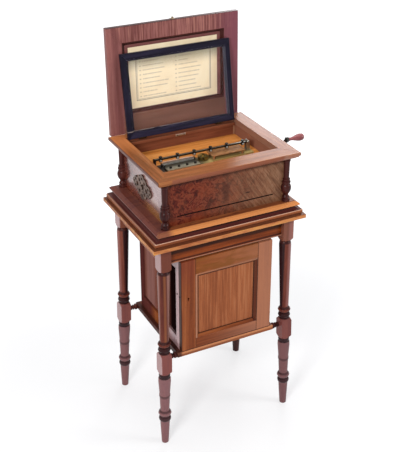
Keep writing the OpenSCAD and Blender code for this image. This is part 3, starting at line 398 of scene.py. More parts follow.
def paper():
    """Tune sheet: cream paper with a ruled border, two columns of plain printed lines with a number stroke
    before each, and a grey painted shadow of the glass frame's top bar near its top."""
    g = Paint("tune_paper", rough=0.75, gloss=0.2)
    sheet = edges("tune_sheet")
    width, height = sheet.right - sheet.left, sheet.high - sheet.low
    x, _, z = g.plan()
    u = g.math("DIVIDE", g.math("SUBTRACT", x, sheet.left), width)
    v = g.math("DIVIDE", g.math("SUBTRACT", z, sheet.low), height)
    age = g.noise(g.place, 8, detail=5, rough=0.6, twist=0.6)
    fleck = g.noise(g.place, 160, detail=3, rough=0.6)
    base = g.ramp(age, [(0.3, (0.79, 0.63, 0.41)), (0.55, (0.88, 0.74, 0.51)), (0.8, (0.91, 0.80, 0.60))])
    # painted shadow of the glass frame's top bar on the upper part of the sheet
    shade = g.both(g.band(v, 0.56, 0.80), g.band(v, 0.90, 0.86))
    base = g.lay(base, (0.58, 0.41, 0.22), 0.3, g.band(fleck, 0.6, 0.8))
    base = g.lay(base, (0.19, 0.185, 0.130), 0.74, shade)

    in_x = g.weigh(g.math("SUBTRACT", 0.5, g.off(u, 0.5)), width)
    in_z = g.weigh(g.math("SUBTRACT", 0.5, g.off(v, 0.5)), height)
    inward = g.math("MINIMUM", in_x, in_z)
    inked = g.either(*[g.band(g.off(inward, place), outer, inner) for place, outer, inner in SHEET_RULES])
    row = g.weigh(v, SHEET_ROWS)
    index = g.math("FLOOR", row)
    stroke = g.band(g.off(g.math("FRACT", row), 0.5), 0.15, 0.09)
    letters = g.band(g.noise(g.join(g.weigh(u, SHEET_LETTERS), index, 0.0), 1.0, detail=2), 0.42, 0.5)
    printed = g.within(v, *SHEET_PRINTED, 0.01)
    for left, right in SHEET_COLUMNS:
        # each line ends at a length of its own
        reach = g.weigh(g.noise(g.join(index, left * 31, 0.0), 1.37, detail=0), right - left)
        end = g.math("ADD", left + 0.08, reach)
        line = g.both(g.band(u, left, left + 0.002), g.band(g.math("SUBTRACT", end, u), 0.0, 0.004), letters)
        number = g.within(u, left - 0.034, left - 0.019, 0.002)
        inked = g.either(inked, g.weigh(g.both(g.either(line, number), stroke, printed), 0.6))
    g.shade("Base Color", g.lay(base, (0.16, 0.11, 0.09), 0.75, inked))
    g.bump(fleck, strength=0.05, distance=0.0003)
    return g


# paint that is laid over the wood and metal of single pieces, much of it painted light and shade

# heights on the legs: middle block, start of the top block, long turning between them
LEG_BLOCK = (296, 376)
LEG_HEAD = (700, 704)
LEG_TURNING = (430, 688)
# bands of painted shade in the legs' grooves, on their rings and under their blocks: from, to, and how dark
LEG_SHADE_BANDS = ((98, 119, 0.8), (134, 139, 0.6), (196, 205, 0.5), (278, 293, 0.9),
               (379, 407, 0.85), (420, 427, 0.7), (689, 700, 0.7))
# axis of a leg half way up its long turning
LEG_X, LEG_Y = 235.5, 174.5
# left face of the left legs' middle blocks, and how far in the leaning legs' top blocks lie
LEG_FACE, LEG_FACE_IN = -255.5, 7.0
# plan direction across the photograph, from back left to front right
ACROSS_X, ACROSS_Y = 0.89, -0.455


def leg_colour_and_light(name, low, side, highlighted):
    """Taupe lower leg, part dust and part painted reflection, redder blocks with painted glare on their left
    faces, painted shade in the grooves, on the rings and under the blocks. low darkens the lower leg, side =
    -1 or 1 paints black shade on that side of the long turning and a highlight on the other, and highlighted
    paints highlights on both its edges around an amber highlight and darkens the top block."""
    leg = edges(name)
    leg_x = math.copysign(LEG_X, leg.left + leg.right)
    leg_y = math.copysign(LEG_Y, leg.front + leg.back)

    def paint(g, base):
        x, y, z = g.plan()
        lower = g.band(z, 300, 285)
        block = g.within(z, *LEG_BLOCK, 4)
        turning = g.within(z, *LEG_TURNING, 6)
        head = g.band(z, *LEG_HEAD)
        # painted shade in the grooves, on the rings and under the blocks
        dark = g.either(*[g.weigh(g.within(z, start, end, 2.5), depth) for start, end, depth in LEG_SHADE_BANDS])
        across = g.math("ADD", g.weigh(g.math("SUBTRACT", x, leg_x), ACROSS_X),
                        g.weigh(g.math("SUBTRACT", y, leg_y), ACROSS_Y))
        # taupe lower leg: part dust, part painted reflection of the floor
        base = g.lay(base, tint((0.24, 0.118, 0.124), low), 0.75, lower)
        base = g.lay(base, tint((0.27, 0.090, 0.082), low), 0.55, block)
        base = g.lay(base, (0.26, 0.115, 0.070), 0.35, head)
        if side:
            across = g.weigh(across, side)
            # black painted shade on this side of the long turning, a painted highlight on the other
            painted_shade = g.both(g.band(across, 1.5, 8), turning)
            wear_and_highlight = g.both(g.band(across, -3, -13), g.band(z, 425, 435))
            dark = g.either(dark, g.weigh(painted_shade, 0.92))
            base = g.lay(base, (0.34, 0.15, 0.135), 0.45, wear_and_highlight)
        if highlighted:
            # painted highlights on both edges of the long turning, an amber painted highlight between them
            edge = g.both(g.band(g.math("ABSOLUTE", across), 10, 16), turning)
            amber_highlight = g.both(g.within(across, 2.5, 7.5, 3), turning)
            base = g.lay(base, (0.37, 0.20, 0.165), 0.5, edge)
            base = g.lay(base, (0.24, 0.085, 0.030), 0.5, amber_highlight)
            base = g.lay(base, (0.13, 0.032, 0.018), 0.8, head)
        # painted glare on the left faces of the blocks
        face = g.math("ADD", g.weigh(g.band(z, 500, 650), LEG_FACE_IN), LEG_FACE)
        face_glare = g.both(g.band(g.math("SUBTRACT", x, face), 0, -3), g.either(block, head))
        base = g.lay(base, (0.52, 0.36, 0.36), 0.6, face_glare)
        return g.mix(dark, base, (0.012, 0.004, 0.006))

    return paint


def lid_stripes(g, base):
    """Ripple figure across the front rail, plum towards the right, a dull back rail and a dark front edge."""
    lid = edges("lid_frame")
    x, _, z = g.plan()
    off = g.math("ABSOLUTE", x)
    front_rail = g.both(g.band(z, lid.high - 60, lid.high - 50), g.band(off, 240, 185))
    front_edge = g.band(z, lid.high - 1.6, lid.high - 0.8)
    back_rail = g.both(g.band(z, lid.low + 76, lid.low + 68), g.band(off, 200, 192))
    right = g.band(x, 120, 240)
    ripple = g.noise(g.mapped((1, 0.04, 0.04)), 200, detail=3, rough=0.6)
    dull = g.ramp(g.noise(g.mapped(GRAIN["x"]), 40, detail=4, rough=0.6, twist=0.6),
                  [(0.35, (0.115, 0.050, 0.034)), (0.65, (0.22, 0.100, 0.068))])
    base = g.lay(base, (0.085, 0.026, 0.020), 0.55, front_rail, g.band(ripple, 0.48, 0.64))
    base = g.lay(base, (0.42, 0.19, 0.145), 0.45, front_rail, g.band(ripple, 0.5, 0.36))
    base = g.lay(base, (0.20, 0.062, 0.095), 0.55, right)
    base = g.lay(base, dull, 0.9, back_rail)
    return g.lay(base, (0.03, 0.009, 0.010), 0.85, front_edge)


# knot on the front veneer: centre and half sizes
KNOT_X, KNOT_Z, KNOT_WIDE, KNOT_TALL = 81.0, 912.6, 9.0, 2.6
# slot in the case front: height over the base moulding, half height with its painted shade, half length
SLOT_UP, SLOT_TALL, SLOT_WIDE = 31, 1.8, 178


def front_marks(g, base):
    """Dark stain in the middle of the front veneer, painted shadow under the rim, painted shade in the slot,
    a small knot.
    """
    rim_z = edges("rim").low
    slot_z = edges("base_moulding").high + SLOT_UP
    x, _, z = g.plan()
    stain = g.both(g.within(x, -7, 5, 14), g.within(z, 905, 955, 12))
    # painted shadow under the rim
    shade = g.band(z, rim_z - 24, rim_z - 12)
    # painted shade in the slot
    slot_shade = g.both(g.within(z, slot_z - SLOT_TALL, slot_z + SLOT_TALL, 1.0),
                  g.within(x, -SLOT_WIDE, SLOT_WIDE, 3))
    dx = g.math("DIVIDE", g.math("SUBTRACT", x, KNOT_X), KNOT_WIDE)
    dz = g.math("DIVIDE", g.math("SUBTRACT", z, KNOT_Z), KNOT_TALL)
    knot = g.band(g.math("ADD", g.both(dx, dx), g.both(dz, dz)), 1.6, 0.4)
    base = g.lay(base, (0.055, 0.018, 0.011), 0.6, stain)
    base = g.lay(base, (0.03, 0.010, 0.007), 0.6, shade)
    base = g.lay(base, (0.008, 0.003, 0.003), 0.92, slot_shade)
    return g.lay(base, (0.02, 0.008, 0.006), 0.85, knot)


def case_side_glare(g, base):
    """Clouded painted glare on the upper part of the left side's veneer, an amber glow low at its front."""
    foot = edges("base_moulding").high
    x, y, z = g.plan()
    left = g.math("LESS_THAN", x, 0.0)
    # painted glare on the upper part of the left side
    painted_glare = g.both(g.band(z, foot + 9, foot + 62), g.band(y, 190, -120), left)
    glow = g.both(g.within(z, foot - 3, foot + 23, 10), g.band(y, 20, -60), left)
    cloud = g.noise(g.mapped((1, 1, 0.6)), 16, detail=4, rough=0.6, twist=0.8)
    glare_tone = g.ramp(cloud, [(0.36, (0.25, 0.135, 0.135)), (0.5, (0.36, 0.215, 0.205)),
                          (0.64, (0.40, 0.255, 0.205))])
    base = g.lay(base, glare_tone, 0.84, painted_glare)
    return g.lay(base, (0.44, 0.20, 0.055), 0.45, glow)


def corner_line(g, base):
    """Painted highlight down the well's back right corner, and painted light on the right wall, which faces
    the light.
    """
    x, y, _ = g.plan()
    # painted light on the right wall and a painted highlight down the corner
    lit_wall = g.both(g.band(x, WELL_X - 0.5, WELL_X), g.band(y, WELL_Y - 1, WELL_Y - 2))
    line = g.within(x, WELL_X - 6, WELL_X - 1, 1.0)
    base = g.lay(base, WELL_LIT, 0.6, lit_wall)
    return g.lay(base, (0.45, 0.26, 0.15), 0.6, line)


def rim_reflection_and_edges(g, base):
    """Painted reflection of a window that pales the rim towards the right, bright at the back left corner and
    dark along the left edge. Plain brown on the faces towards the well, painted lighter on the right where
    light falls."""
    rim = edges("rim")
    x, y, z = g.plan()
    varnished = g.either(g.math("GREATER_THAN", g.math("ABSOLUTE", x), WELL_X + 0.6),
                         g.math("GREATER_THAN", z, rim.high - 0.4))
    # painted reflection of a window, paler towards the right
    window_reflection = g.band(x, 20, rim.right)
    corner = g.both(g.band(x, -190, -215), g.band(y, 0, 170))
    left_edge = g.band(x, rim.left + 4, rim.left + 1.5)
    base = g.lay(base, (0.30, 0.165, 0.150), 0.35, window_reflection)
    base = g.lay(base, (0.66, 0.23, 0.075), 0.55, corner)
    base = g.lay(base, (0.06, 0.020, 0.022), 0.75, left_edge)
    # inside faces painted lighter on the right, where light falls on them
    inside = g.mix(g.band(x, 190, 205), tint(WELL, 1.15), WELL_LIT)
    return g.mix(varnished, inside, base)


def door_stains_and_light(g, base):
    """Painted reflection that pales it towards the hinges, a stained amber top rail, a red lock stile, dark
    joints, and painted shade along the left and bottom edges.
    """
    door = edges("door_frame")
    joint_x = edges("door_panel").right + FIT
    x, _, z = g.plan()
    off = g.math("ABSOLUTE", x)
    # painted reflection, paler towards the hinges
    hinge_side_reflection = g.band(x, -120, 180)
    rail = g.both(g.band(z, door.high - 60, door.high - 52), g.band(off, joint_x + 4, joint_x - 4))
    stain = g.band(g.noise(g.mapped((0.35, 1, 1)), 28, detail=4, rough=0.6, twist=0.6), 0.42, 0.62)
    stile = g.both(g.band(x, 2 - joint_x, -4 - joint_x), g.band(z, door.high - 156, door.high - 16))
    joint = g.within(off, joint_x - 1, joint_x + 1, 0.8)
    # painted shade along the left and bottom edges, in the gaps around the door
    edge = g.either(g.band(x, door.left + 3.5, door.left + 1.5), g.band(z, door.low + 4, door.low + 2))
    base = g.lay(base, (0.40, 0.175, 0.105), 0.6, hinge_side_reflection)
    base = g.lay(base, (0.24, 0.070, 0.014), 0.4, rail)
    base = g.lay(base, (0.16, 0.054, 0.008), 0.6, rail, stain)
    base = g.lay(base, (0.16, 0.030, 0.016), 0.5, stile)
    base = g.lay(base, (0.05, 0.014, 0.008), 0.7, joint)
    return g.lay(base, (0.02, 0.007, 0.006), 0.85, edge)


def moulding_lines(g, base):
    """Painted highlights on the door moulding's left and top edges, painted shade in its quirks and on its
    right.
    """
    mould = edges("door_moulding")
    x, _, z = g.plan()
    left = g.math("SUBTRACT", x, mould.left)
    right = g.math("SUBTRACT", mould.right, x)
    under = g.math("SUBTRACT", z, mould.low)
    over = g.math("SUBTRACT", mould.high, z)
    inward = g.math("MINIMUM", g.math("MINIMUM", left, right), g.math("MINIMUM", under, over))
    # painted shade on the right, painted highlights on the left and top edges, painted shade in the quirks
    right_shade = g.band(right, 15, 12)
    left_edge = g.both(g.band(left, 6.5, 4), g.band(over, 1, 3))
    top_highlight = g.band(over, 5, 2.5)
    quirk_shade = g.either(g.band(inward, 10, 12), g.band(right, 3.5, 1.5))
    base = g.lay(base, (0.055, 0.014, 0.010), 0.75, right_shade)
    base = g.lay(base, (0.48, 0.29, 0.20), 0.4, left_edge)
    base = g.lay(base, (0.42, 0.22, 0.13), 0.5, top_highlight)
    return g.lay(base, (0.015, 0.005, 0.004), 0.85, quirk_shade)


def panel_streaks(g, base):
    """Thin upright streaks of the door panel's veneer."""
    fine = g.noise(g.mapped((1, 1, 0.03)), 150, detail=3, rough=0.6)
    base = g.lay(base, (0.46, 0.19, 0.085), 0.3, g.band(fine, 0.5, 0.36))
    return g.lay(base, (0.15, 0.040, 0.016), 0.4, g.band(fine, 0.52, 0.66))


def panel_shade(g, base):
    """Painted glare at the back of the side panels, black painted shadow along their front."""
    y = g.plan()[1]
    # painted glare at the back, black painted shadow along the front
    painted_glare = g.within(y, 60, 95, 30)
    painted_shade = g.band(y, -75, -100)
    base = g.lay(base, (0.36, 0.19, 0.17), 0.35, painted_glare)
    return g.lay(base, (0.006, 0.002, 0.002), 0.97, painted_shade)


def cabinet_side_glare(g, base):
    """Painted glare and more gloss on the varnish at the front of the cabinet's sides, maroon at their back.
    """
    y = g.plan()[1]
    shine = g.band(y, -40, -100)
    # painted glare on the front of the sides
    painted_glare = g.band(y, -40, -120)
    back = g.band(y, 20, 100)
    g.shade("Coat Weight", g.weigh(shine, 0.4))
    g.shade("Specular IOR Level", g.weigh(shine, 0.2))
    base = g.lay(base, (0.075, 0.019, 0.024), 0.8, back)
    return g.lay(base, (0.52, 0.33, 0.34), 0.85, painted_glare)


def board_edges(g, base):
    """Painted highlight on the front edge and painted shade on the left end of the cabinet board."""
    board = edges("cabinet_board")
    x, y, z = g.plan()
    # painted highlight on the front edge, stronger towards its top
    front_edge = g.band(y, board.front + 6, board.front + 2)
    wear_and_highlight = g.math("ADD", g.weigh(g.band(z, board.low + 7, board.low + 13), 0.6), 0.2)
    # painted shade on the left end
    left_end = g.band(x, board.left + 22, board.left + 10)
    base = g.mix(g.both(front_edge, wear_and_highlight), base, (0.56, 0.22, 0.095))
    return g.lay(base, (0.035, 0.010, 0.010), 0.85, left_end)


def apron_lines(g, base):
    """Painted shadow under the table's edge, painted shade above the bead, and a painted highlight on the
    bead.
    """
    low = edges("aprons_long").low
    z = g.plan()[2]
    # painted shadow under the table's edge, painted shade above the bead, painted highlight on the bead
    table_shadow = g.band(z, low + 28, low + 36)
    bead_shade = g.within(z, low + 6.5, low + 11, 1.2)
    bead_highlight = g.band(z, low + 6, low + 4)
    base = g.lay(base, (0.018, 0.006, 0.004), 0.85, table_shadow)
    base = g.lay(base, (0.025, 0.007, 0.006), 0.75, bead_shade)
    return g.lay(base, (0.42, 0.22, 0.15), 0.6, bead_highlight)


def tier_lines(g, base):
    """Streaked lower tier with a lighter front and left end, a painted highlight along the top edge, and
    painted shade in the groove between the tiers."""
    top = edges("table_top")
    x, y, z = g.plan()
    tier = g.band(z, top.low + 15, top.low + 12)
    front = g.band(y, top.front + 21, top.front + 11)
    left_end = g.both(g.band(x, top.left + 8.5, top.left + 2.5), g.band(y, 100, -120))
    streak = g.noise(g.mapped((0.12, 1, 1)), 60, detail=4, rough=0.6, twist=0.8)
    # painted highlight along the top edge, stronger at the front
    top_highlight = g.within(z, top.high - 1.6, top.high + 1, 0.5)
    wear_and_highlight = g.math("ADD", g.weigh(front, 0.45), 0.3)
    # painted shade in the groove between the tiers
    groove = g.within(z, top.low + 13.6, top.low + 19.4, 0.8)
    base = g.lay(base, (0.60, 0.24, 0.078), 0.65, tier, front)
    base = g.lay(base, (0.55, 0.22, 0.06), 0.6, tier, left_end)
    base = g.lay(base, (0.24, 0.050, 0.022), 0.55, tier, g.band(streak, 0.5, 0.38))
    base = g.lay(base, (0.66, 0.33, 0.080), 0.5, tier, g.band(streak, 0.52, 0.62))
    base = g.mix(g.both(top_highlight, wear_and_highlight), base, (0.66, 0.40, 0.28))
    return g.lay(base, (0.055, 0.013, 0.009), 0.7, groove)


def base_spots_and_light(g, base):
    """Spotted brown ledge, a dark step line, a painted highlight on the orange front edge and painted shade
    on the maroon left side of the base moulding."""
    front = edges("base_moulding").front
    x, y, _ = g.plan()
    ledge = g.band(y, front + 18, front + 30)
    spots = g.both(g.band(g.noise(g.mapped((0.3, 1, 1)), 48, detail=4, rough=0.6, twist=0.8), 0.52, 0.62),
                   g.band(y, front + 18, front + 26))
    # painted highlight on the front edge
    front_edge = g.band(y, front + 16, front + 13)
    step = g.within(y, front + 14.5, front + 17.5, 0.6)
    # painted shade on the left side
    shaded_left_side = g.band(x, -200, -232)
    base = g.lay(base, (0.24, 0.075, 0.028), 0.6, ledge)
    base = g.lay(base, (0.06, 0.016, 0.010), 0.65, spots)
    base = g.lay(base, (0.70, 0.27, 0.085), 0.75, front_edge)
    base = g.lay(base, (0.14, 0.036, 0.018), 0.6, step)
    return g.lay(base, (0.115, 0.032, 0.032), 0.75, shaded_left_side)


def cove_shade(g, base):
    """Maroon on the foot of the cove, where the painted shade of its near-black wood lifts."""
    low = edges("case_plinth").low
    # maroon where the painted shade of the cove lifts at its foot
    foot = g.band(g.plan()[2], low + 10, low + 3)
    return g.lay(base, (0.105, 0.024, 0.020), 0.7, foot)


def rebate_and_sill_light(g, base):
    """Painted light, grey, on the rebate along the glazed lid's right bar, and a patchy painted highlight on
    the inner edge of its lower bar that fades to the right."""
    bars = edges("glass_frame")
    x, _, z = g.plan()
    # painted light on the rebate and a painted highlight on the lower bar's inner edge
    lit_rebate = g.both(g.within(x, bars.right - 27, bars.right - 18, 0.8),
                    g.within(z, bars.low + 27, bars.high - 29, 2.0))
    sill_highlight = g.both(g.within(z, bars.low + 26.5, bars.low + 28.5, 0.5), g.band(x, 150, -120))
    patchy = g.band(g.noise(g.place, 30, detail=3, rough=0.6), 0.3, 0.55)
    base = g.lay(base, (0.075, 0.070, 0.092), 0.65, lit_rebate)
    return g.lay(base, (0.32, 0.25, 0.22), 0.8, sill_highlight, patchy)


def bar_highlight(g, base):
    """Bright painted highlight along the middle of the pressure bar."""
    bar = edges("bar_beam")
    middle = (bar.front + bar.back) / 2
    # painted highlight
    line = g.within(g.plan()[1], middle - 1.1, middle + 1.1, 0.4)
    return g.lay(base, (0.42, 0.38, 0.30), 0.8, line)


def comb_shade(g, base):
    """Painted shade on the back of the comb's teeth, under the pressure bar."""
    comb = edges("comb")
    middle = (comb.front + comb.back) / 2
    # painted shade towards the pressure bar
    teeth_shade = g.band(g.plan()[1], middle - 4, middle + 6)
    return g.lay(base, (0.03, 0.028, 0.022), 0.8, teeth_shade)


def gilded(g, base):
    """Old gold paint on the right part of the bedplate. Its left part stays black: black paint, and painted
    shade at that end.
    """
    right_part = g.band(g.plan()[0], -40, 30)
    return g.lay(base, (0.40, 0.29, 0.10), 0.85, right_part)


def dress(material, *names):
    """Gives whole CAD nodes a material."""
    for name in names:
        mesh = nodes[name].data
        mesh.materials.clear()
        mesh.materials.append(material.mat)
        for poly in mesh.polygons:
            poly.material_index = 0


# stand
for name, low, side, highlighted in (("leg_front_left", 1.0, 0, True), ("leg_front_right", 0.74, -1, False),
                                ("leg_back_left", 0.9, 1, False), ("leg_back_right", 0.15, 0, False)):
    colour_and_light = leg_colour_and_light(name, low, side, highlighted)
    dress(wood(f"{name}_wood", LEG, "z", figure=14, gloss=0.12, extra=colour_and_light), name)
dress(wood("peg_wood", MOULD, "x", figure=16), "pegs")
dress(wood("table_wood", TABLE, "frame_xy", "table_top", extra=tier_lines), "table_top")
dress(wood("apron_wood", APRON, "x", extra=apron_lines), "aprons_long")
dress(wood("apron_side_wood", APRON, "y", extra=apron_lines), "aprons_short")

# cabinet
dress(wood("board_wood", CABINET, "x", extra=board_edges), "cabinet_board")
dress(wood("side_wood", CABINET, "z", gloss=0.2, extra=cabinet_side_glare), "cabinet_sides")
dress(wood("back_wood", CABINET, "z"), "cabinet_back")
dress(wood("side_panel_wood", SIDE_PANEL, "z", gloss=0.0, extra=panel_shade), "cabinet_panels")
dress(wood("panel_wood", PANEL, "z", figure=18, extra=panel_streaks), "door_panel")
dress(wood("door_wood", CABINET, "door_xz", "door_frame", extra=door_stains_and_light), "door_frame")
dress(wood("moulding_wood", CABINET, "frame_xz", "door_moulding", extra=moulding_lines), "door_moulding")

# case
dress(wood("plinth_wood", PLINTH, "x", extra=cove_shade), "case_plinth")
dress(wood("base_wood", TABLE, "frame_xy", "base_moulding", extra=base_spots_and_light), "base_moulding")
dress(wood("column_wood", COLUMN, "z", figure=16, gloss=0.12), "columns")
dress(wood("rim_wood", RIM, "frame_xy", "rim", gloss=0.12, extra=rim_reflection_and_edges), "rim")
dress(wood("rest_wood", REST, "x"), "glass_rests")
dress(wood("deck_wood", DECK, "x", rough=0.4), "deck", "case_floor")
dress(burl("burl_front", BURL, WELL, extra=front_marks), "case_front")
dress(burl("burl_sides", BURL, WELL, gloss=0.6, coat=0.6, extra=case_side_glare, lined=corner_line),
      "case_left", "case_right", "case_back")
dress(metal("ornament_metal", (0.26, 0.17, 0.13), (0.05, 0.034, 0.028), 0.35, scale=60), "side_ornament")

# lids
dress(wood("lid_wood", LID, "z", gloss=0.05, extra=lid_stripes), "lid_frame")
dress(wood("lid_panel_wood", LID, "x"), "lid_panel")
dress(wood("lid_moulding_wood", MOULD, "frame_xz", "lid_moulding"), "lid_moulding")
dress(metal("catch_brass", (0.34, 0.26, 0.18), (0.16, 0.11, 0.07), 0.4, metallic=0.5), "lid_catch")
dress(paper(), "tune_sheet")
dress(wood("black_wood", EBONY, "frame_xz", "glass_frame", extra=rebate_and_sill_light), "glass_frame")
dress(pane(), "glass_pane")
dress(metal("old_brass", (0.10, 0.06, 0.03), (0.03, 0.018, 0.010), 0.35),
      "glass_hinge_fixed", "glass_hinge_moving")

# mechanism, crank and hinges
steel = metal("steel", (0.55, 0.54, 0.52), (0.34, 0.32, 0.29), 0.25)
iron = metal("dark_iron", (0.06, 0.055, 0.05), (0.02, 0.018, 0.016), 0.35)
dress(steel, "star_wheels", "rollers", "crank_shaft", "bar_bracket")
dress(iron, "door_lock", "comb_screws", "bar_rest", "bar_knobs", "hub_foot", "shaft_bearing", "crank_arm")
dress(metal("brass", (0.60, 0.42, 0.16), (0.26, 0.15, 0.05), 0.22), "door_hinge_fixed", "door_hinge_moving",
      "lid_hinge_fixed", "lid_hinge_moving", "crown_wheel", "crank_bush")
dress(metal("comb_steel", (0.50, 0.48, 0.39), (0.30, 0.28, 0.21), 0.32, extra=comb_shade), "comb")
dress(metal("hub_bronze", (0.42, 0.30, 0.10), (0.035, 0.035, 0.018), 0.25, scale=120), "hub")
dress(metal("bar_iron", (0.05, 0.045, 0.04), (0.015, 0.014, 0.013), 0.3, extra=bar_highlight), "bar_beam")
# the bedplate's black is its paint, and at its left end painted shade as well
dress(metal("bed_paint", (0.05, 0.045, 0.04), (0.02, 0.018, 0.016), 0.45, metallic=0.2, gloss=0.15,
            extra=gilded), "bedplate")
dress(metal("cover_lacquer", (0.36, 0.17, 0.068), (0.19, 0.085, 0.033), 0.4, metallic=0.0, gloss=0.15),
      "motor_cover")
dress(wood("grip_wood", GRIP, "x", figure=16, gloss=0.3), "crank_grip")

# softened edges: the angle from which an edge counts as one, and the widths of weld and rounding in metres
SHARP = math.radians(30)
WELD = 0.00001
SOFT = 0.0007
SOFT_OF = {"table_top": 0.0014, "base_moulding": 0.001, "rim": 0.0004, "lid_frame": 0.0004}
# pieces that stay as they are, and pieces that have creases in place of rounded edges
PLAIN = ("glass_pane", "tune_sheet")
CREASED = ("crown_wheel", "star_wheels", "comb")


def soften(name, obj):
    """Rounds the edges of a CAD node and keeps its flat faces flat."""
    for poly in obj.data.polygons:
        poly.use_smooth = True
    obj.modifiers.new("weld", "WELD").merge_threshold = WELD
    if name in CREASED:
        obj.modifiers.new("creases", "EDGE_SPLIT").split_angle = SHARP
        return
    soft = obj.modifiers.new("soft_edges", "BEVEL")
    soft.width = SOFT_OF.get(name, SOFT)
    soft.segments = 2
    soft.limit_method = "ANGLE"
    soft.angle_limit = SHARP
    flat = obj.modifiers.new("flat_faces", "WEIGHTED_NORMAL")
    flat.mode = "FACE_AREA"
    flat.weight = 100


for name, obj in nodes.items():
    if name not in PLAIN:
        soften(name, obj)

# small fittings that only the scene has

# signs of a rectangle's corners, in order around it
CORNERS = ((-1, -1), (1, -1), (1, 1), (-1, 1))


def fitting(name, verts, faces, body, material):
    mesh = bpy.data.meshes.new(name)
    mesh.from_pydata(verts, [], faces)
    mesh.materials.append(material.mat)
    obj = add(name, mesh)
    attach(obj, body)


def on_left(x, y, z):
    """Maps (along, up, out) to a face that looks along -X."""
    return lambda along, up, out: at(x - out, y + along, z + up)


def on_front(x, y, z):
    """Maps (along, up, out) to a face that looks along -Y."""
    return lambda along, up, out: at(x + along, y - out, z + up)


def screw_head(name, put, radius, body):
    """Domed, slotted iron screw head on a flat face."""
    rings, spokes = 6, 24
    rise, groove = 0.5 * radius, 0.2 * radius
    round_part = 0.9

    def dome(share, up):
        height = rise * math.sqrt(1 - (round_part * share) ** 2)
        return height - (groove if abs(up) < groove else 0)

    verts = [put(0, 0, dome(0, 0)), put(0, 0, 0)]
    for i in range(1, rings + 2):
        share = min(i, rings) / rings
        for j in range(spokes):
            turn = math.tau * (j + 0.5) / spokes
            along, up = radius * share * math.cos(turn), radius * share * math.sin(turn)
            verts.append(put(along, up, dome(share, up) if i <= rings else 0))
    faces = []
    foot = 2 + rings * spokes
    for j in range(spokes):
        k = (j + 1) % spokes
        faces.append((0, 2 + j, 2 + k))
        for inner in range(2, foot, spokes):
            outer = inner + spokes
            faces.append((inner + j, outer + j, outer + k, inner + k))
        faces.append((1, foot + k, foot + j))
    fitting(name, verts, faces, body, iron)


def plate(name, put, half_along, half_up, thick, body):
    """Thin steel plate with bevelled edges on a flat face."""
    bevel = 0.6 * thick
    verts = []
    for inset, out in ((0, 0), (0, thick - bevel), (bevel, thick)):
        verts += [put(sx * (half_along - inset), sy * (half_up - inset), out) for sx, sy in CORNERS]
    faces = [(3, 2, 1, 0), (8, 9, 10, 11)]
    for low in (0, 4):
        faces += [(low + i, low + (i + 1) % 4, low + 4 + (i + 1) % 4, low + 4 + i) for i in range(4)]
    fitting(name, verts, faces, body, steel)


# gap between a fitting and the face under it
GAP = 0.05
# screws of the lock on the left side: depth and height of the one in the cabinet and the one in the door
KEEPER_SCREW = (-152, 581)
BOLT_SCREW = (-171, 579)
LOCK_SCREW_RADIUS = 3.6
# plate on the back rest strip: place, half sizes, thickness, and its screws
REST_DEPTH = 17
PLATE_X, PLATE_Z = -10, 1017
PLATE_HALF, PLATE_HALF_UP, PLATE_THICK = 20, 3.4, 0.8
PLATE_SCREW_OFF, PLATE_SCREW_RADIUS = 13, 1.8

side_face = edges("cabinet_sides").left - GAP
screw_head("keeper_screw", on_left(side_face, *KEEPER_SCREW), LOCK_SCREW_RADIUS, "stand")
screw_head("bolt_screw", on_left(side_face, *BOLT_SCREW), LOCK_SCREW_RADIUS, "door")
rest_face = edges("glass_rests").back - REST_DEPTH - GAP
plate_face = rest_face - PLATE_THICK - GAP
plate("rest_plate", on_front(PLATE_X, rest_face, PLATE_Z), PLATE_HALF, PLATE_HALF_UP, PLATE_THICK, "stand")
for hand, off in (("left", -PLATE_SCREW_OFF), ("right", PLATE_SCREW_OFF)):
    screw_head(f"rest_plate_screw_{hand}", on_front(PLATE_X + off, plate_face, PLATE_Z), PLATE_SCREW_RADIUS,
               "stand")

# floor, light and camera, in metres
FLOOR_HALF, FLOOR_Z = 9.0, -0.0005


def floor_paint():
    """Pale floor that keeps soft shadows. Seen from the camera, through glass and in gloss it glows white,
    dimmer near the object and brighter away from it.
    """
    near, far, dim = 0.7, 2.2, 0.56
    g = Paint("floor_paint", rough=0.9, gloss=0.05)
    g.shade("Base Color", g.ramp(g.noise(g.place, 3, detail=3),
                                 [(0.3, (0.90, 0.90, 0.93)), (0.7, (0.92, 0.92, 0.95))]))
    away = g.node("ShaderNodeVectorMath", operation="LENGTH")
    g.put(away.inputs[0], g.place)
    # the floor glows, less near the object and more away from it
    strength = g.math("ADD", g.weigh(g.band(away.outputs["Value"], near, far), 1 - dim), dim)
    matt = g.node("ShaderNodeBsdfDiffuse")
    g.put(matt.inputs["Color"], (0.42, 0.42, 0.42))
    shown = g.node("ShaderNodeAddShader")
    g.put(shown.inputs[0], g.light("ShaderNodeEmission", (0.985, 0.985, 1.0), strength))
    g.put(shown.inputs[1], matt.outputs[0])
    surface = g.choose(g.looked_at(), g.bsdf.outputs[0], shown.outputs[0])
    g.put(g.tree.nodes["Material Output"].inputs["Surface"], surface)
    return g


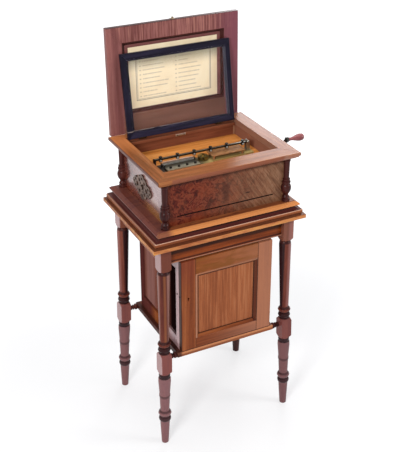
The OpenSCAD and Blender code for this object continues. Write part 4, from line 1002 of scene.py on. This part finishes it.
def lay_floor():
    mesh = bpy.data.meshes.new("floor")
    mesh.from_pydata([(sx * FLOOR_HALF, sy * FLOOR_HALF, FLOOR_Z) for sx, sy in CORNERS], [], [(0, 1, 2, 3)])
    mesh.materials.append(floor_paint().mat)
    add("floor", mesh)


def studio():
    """World that shows white and lights the object more softly."""
    world = bpy.data.worlds.new("studio")
    scene.world = world
    world.use_nodes = True
    g = Graph(world.node_tree)
    g.tree.nodes.clear()
    lit = g.light("ShaderNodeBackground", (0.95, 0.97, 1.0), 0.4)
    shown = g.light("ShaderNodeBackground", (1, 1, 1), 1.0)
    out = g.node("ShaderNodeOutputWorld")
    g.put(out.inputs["Surface"], g.choose(g.looked_at(), lit, shown))


def look(obj, place, direction):
    """Puts a lamp or the camera in its place, looking along a direction."""
    obj.location = place
    obj.rotation_mode = "QUATERNION"
    obj.rotation_quaternion = direction.to_track_quat("-Z", "Y")


def lamp(name, place, target, size, power):
    data = bpy.data.lights.new(name, "AREA")
    data.shape = "SQUARE"
    data.size = size
    data.energy = power
    look(add(name, data), place, Vector(target) - Vector(place))


lay_floor()
studio()
lamp("key", (-2.3, -2.0, 2.4), (0, 0, 0.8), 0.8, 75)
lamp("fill", (2.9, -2.2, 2.2), (0, 0, 0.8), 1.2, 50)
lamp("top", (0.2, 0.3, 3.4), (0, 0, 0.9), 2.0, 45)
lamp("back_glow", (2.4, 3.2, 2.2), (0.1, 0, 1.0), 1.2, 30)

# the photograph's view: aim on the object's axis, distance in metres, lens and frame shift
AIM = at(0, 0, 862)
DISTANCE = 3.2944
AZIMUTH, ELEVATION = math.radians(-27.01), math.radians(26.34)
SENSOR, LENS = 36.0, 76.266
SHIFT_X, SHIFT_Y = 0.0024, -0.0779
FAR = 50

cam_data = bpy.data.cameras.new("camera")
camera = add("camera", cam_data)
scene.camera = camera
cam_data.sensor_width = SENSOR
cam_data.lens = LENS
cam_data.shift_x = SHIFT_X
cam_data.shift_y = SHIFT_Y
cam_data.clip_end = FAR
back = Vector((math.sin(AZIMUTH) * math.cos(ELEVATION), -math.cos(AZIMUTH) * math.cos(ELEVATION),
               math.sin(ELEVATION)))
look(camera, AIM + back * DISTANCE, -back)

scene.view_settings.view_transform = "Standard"
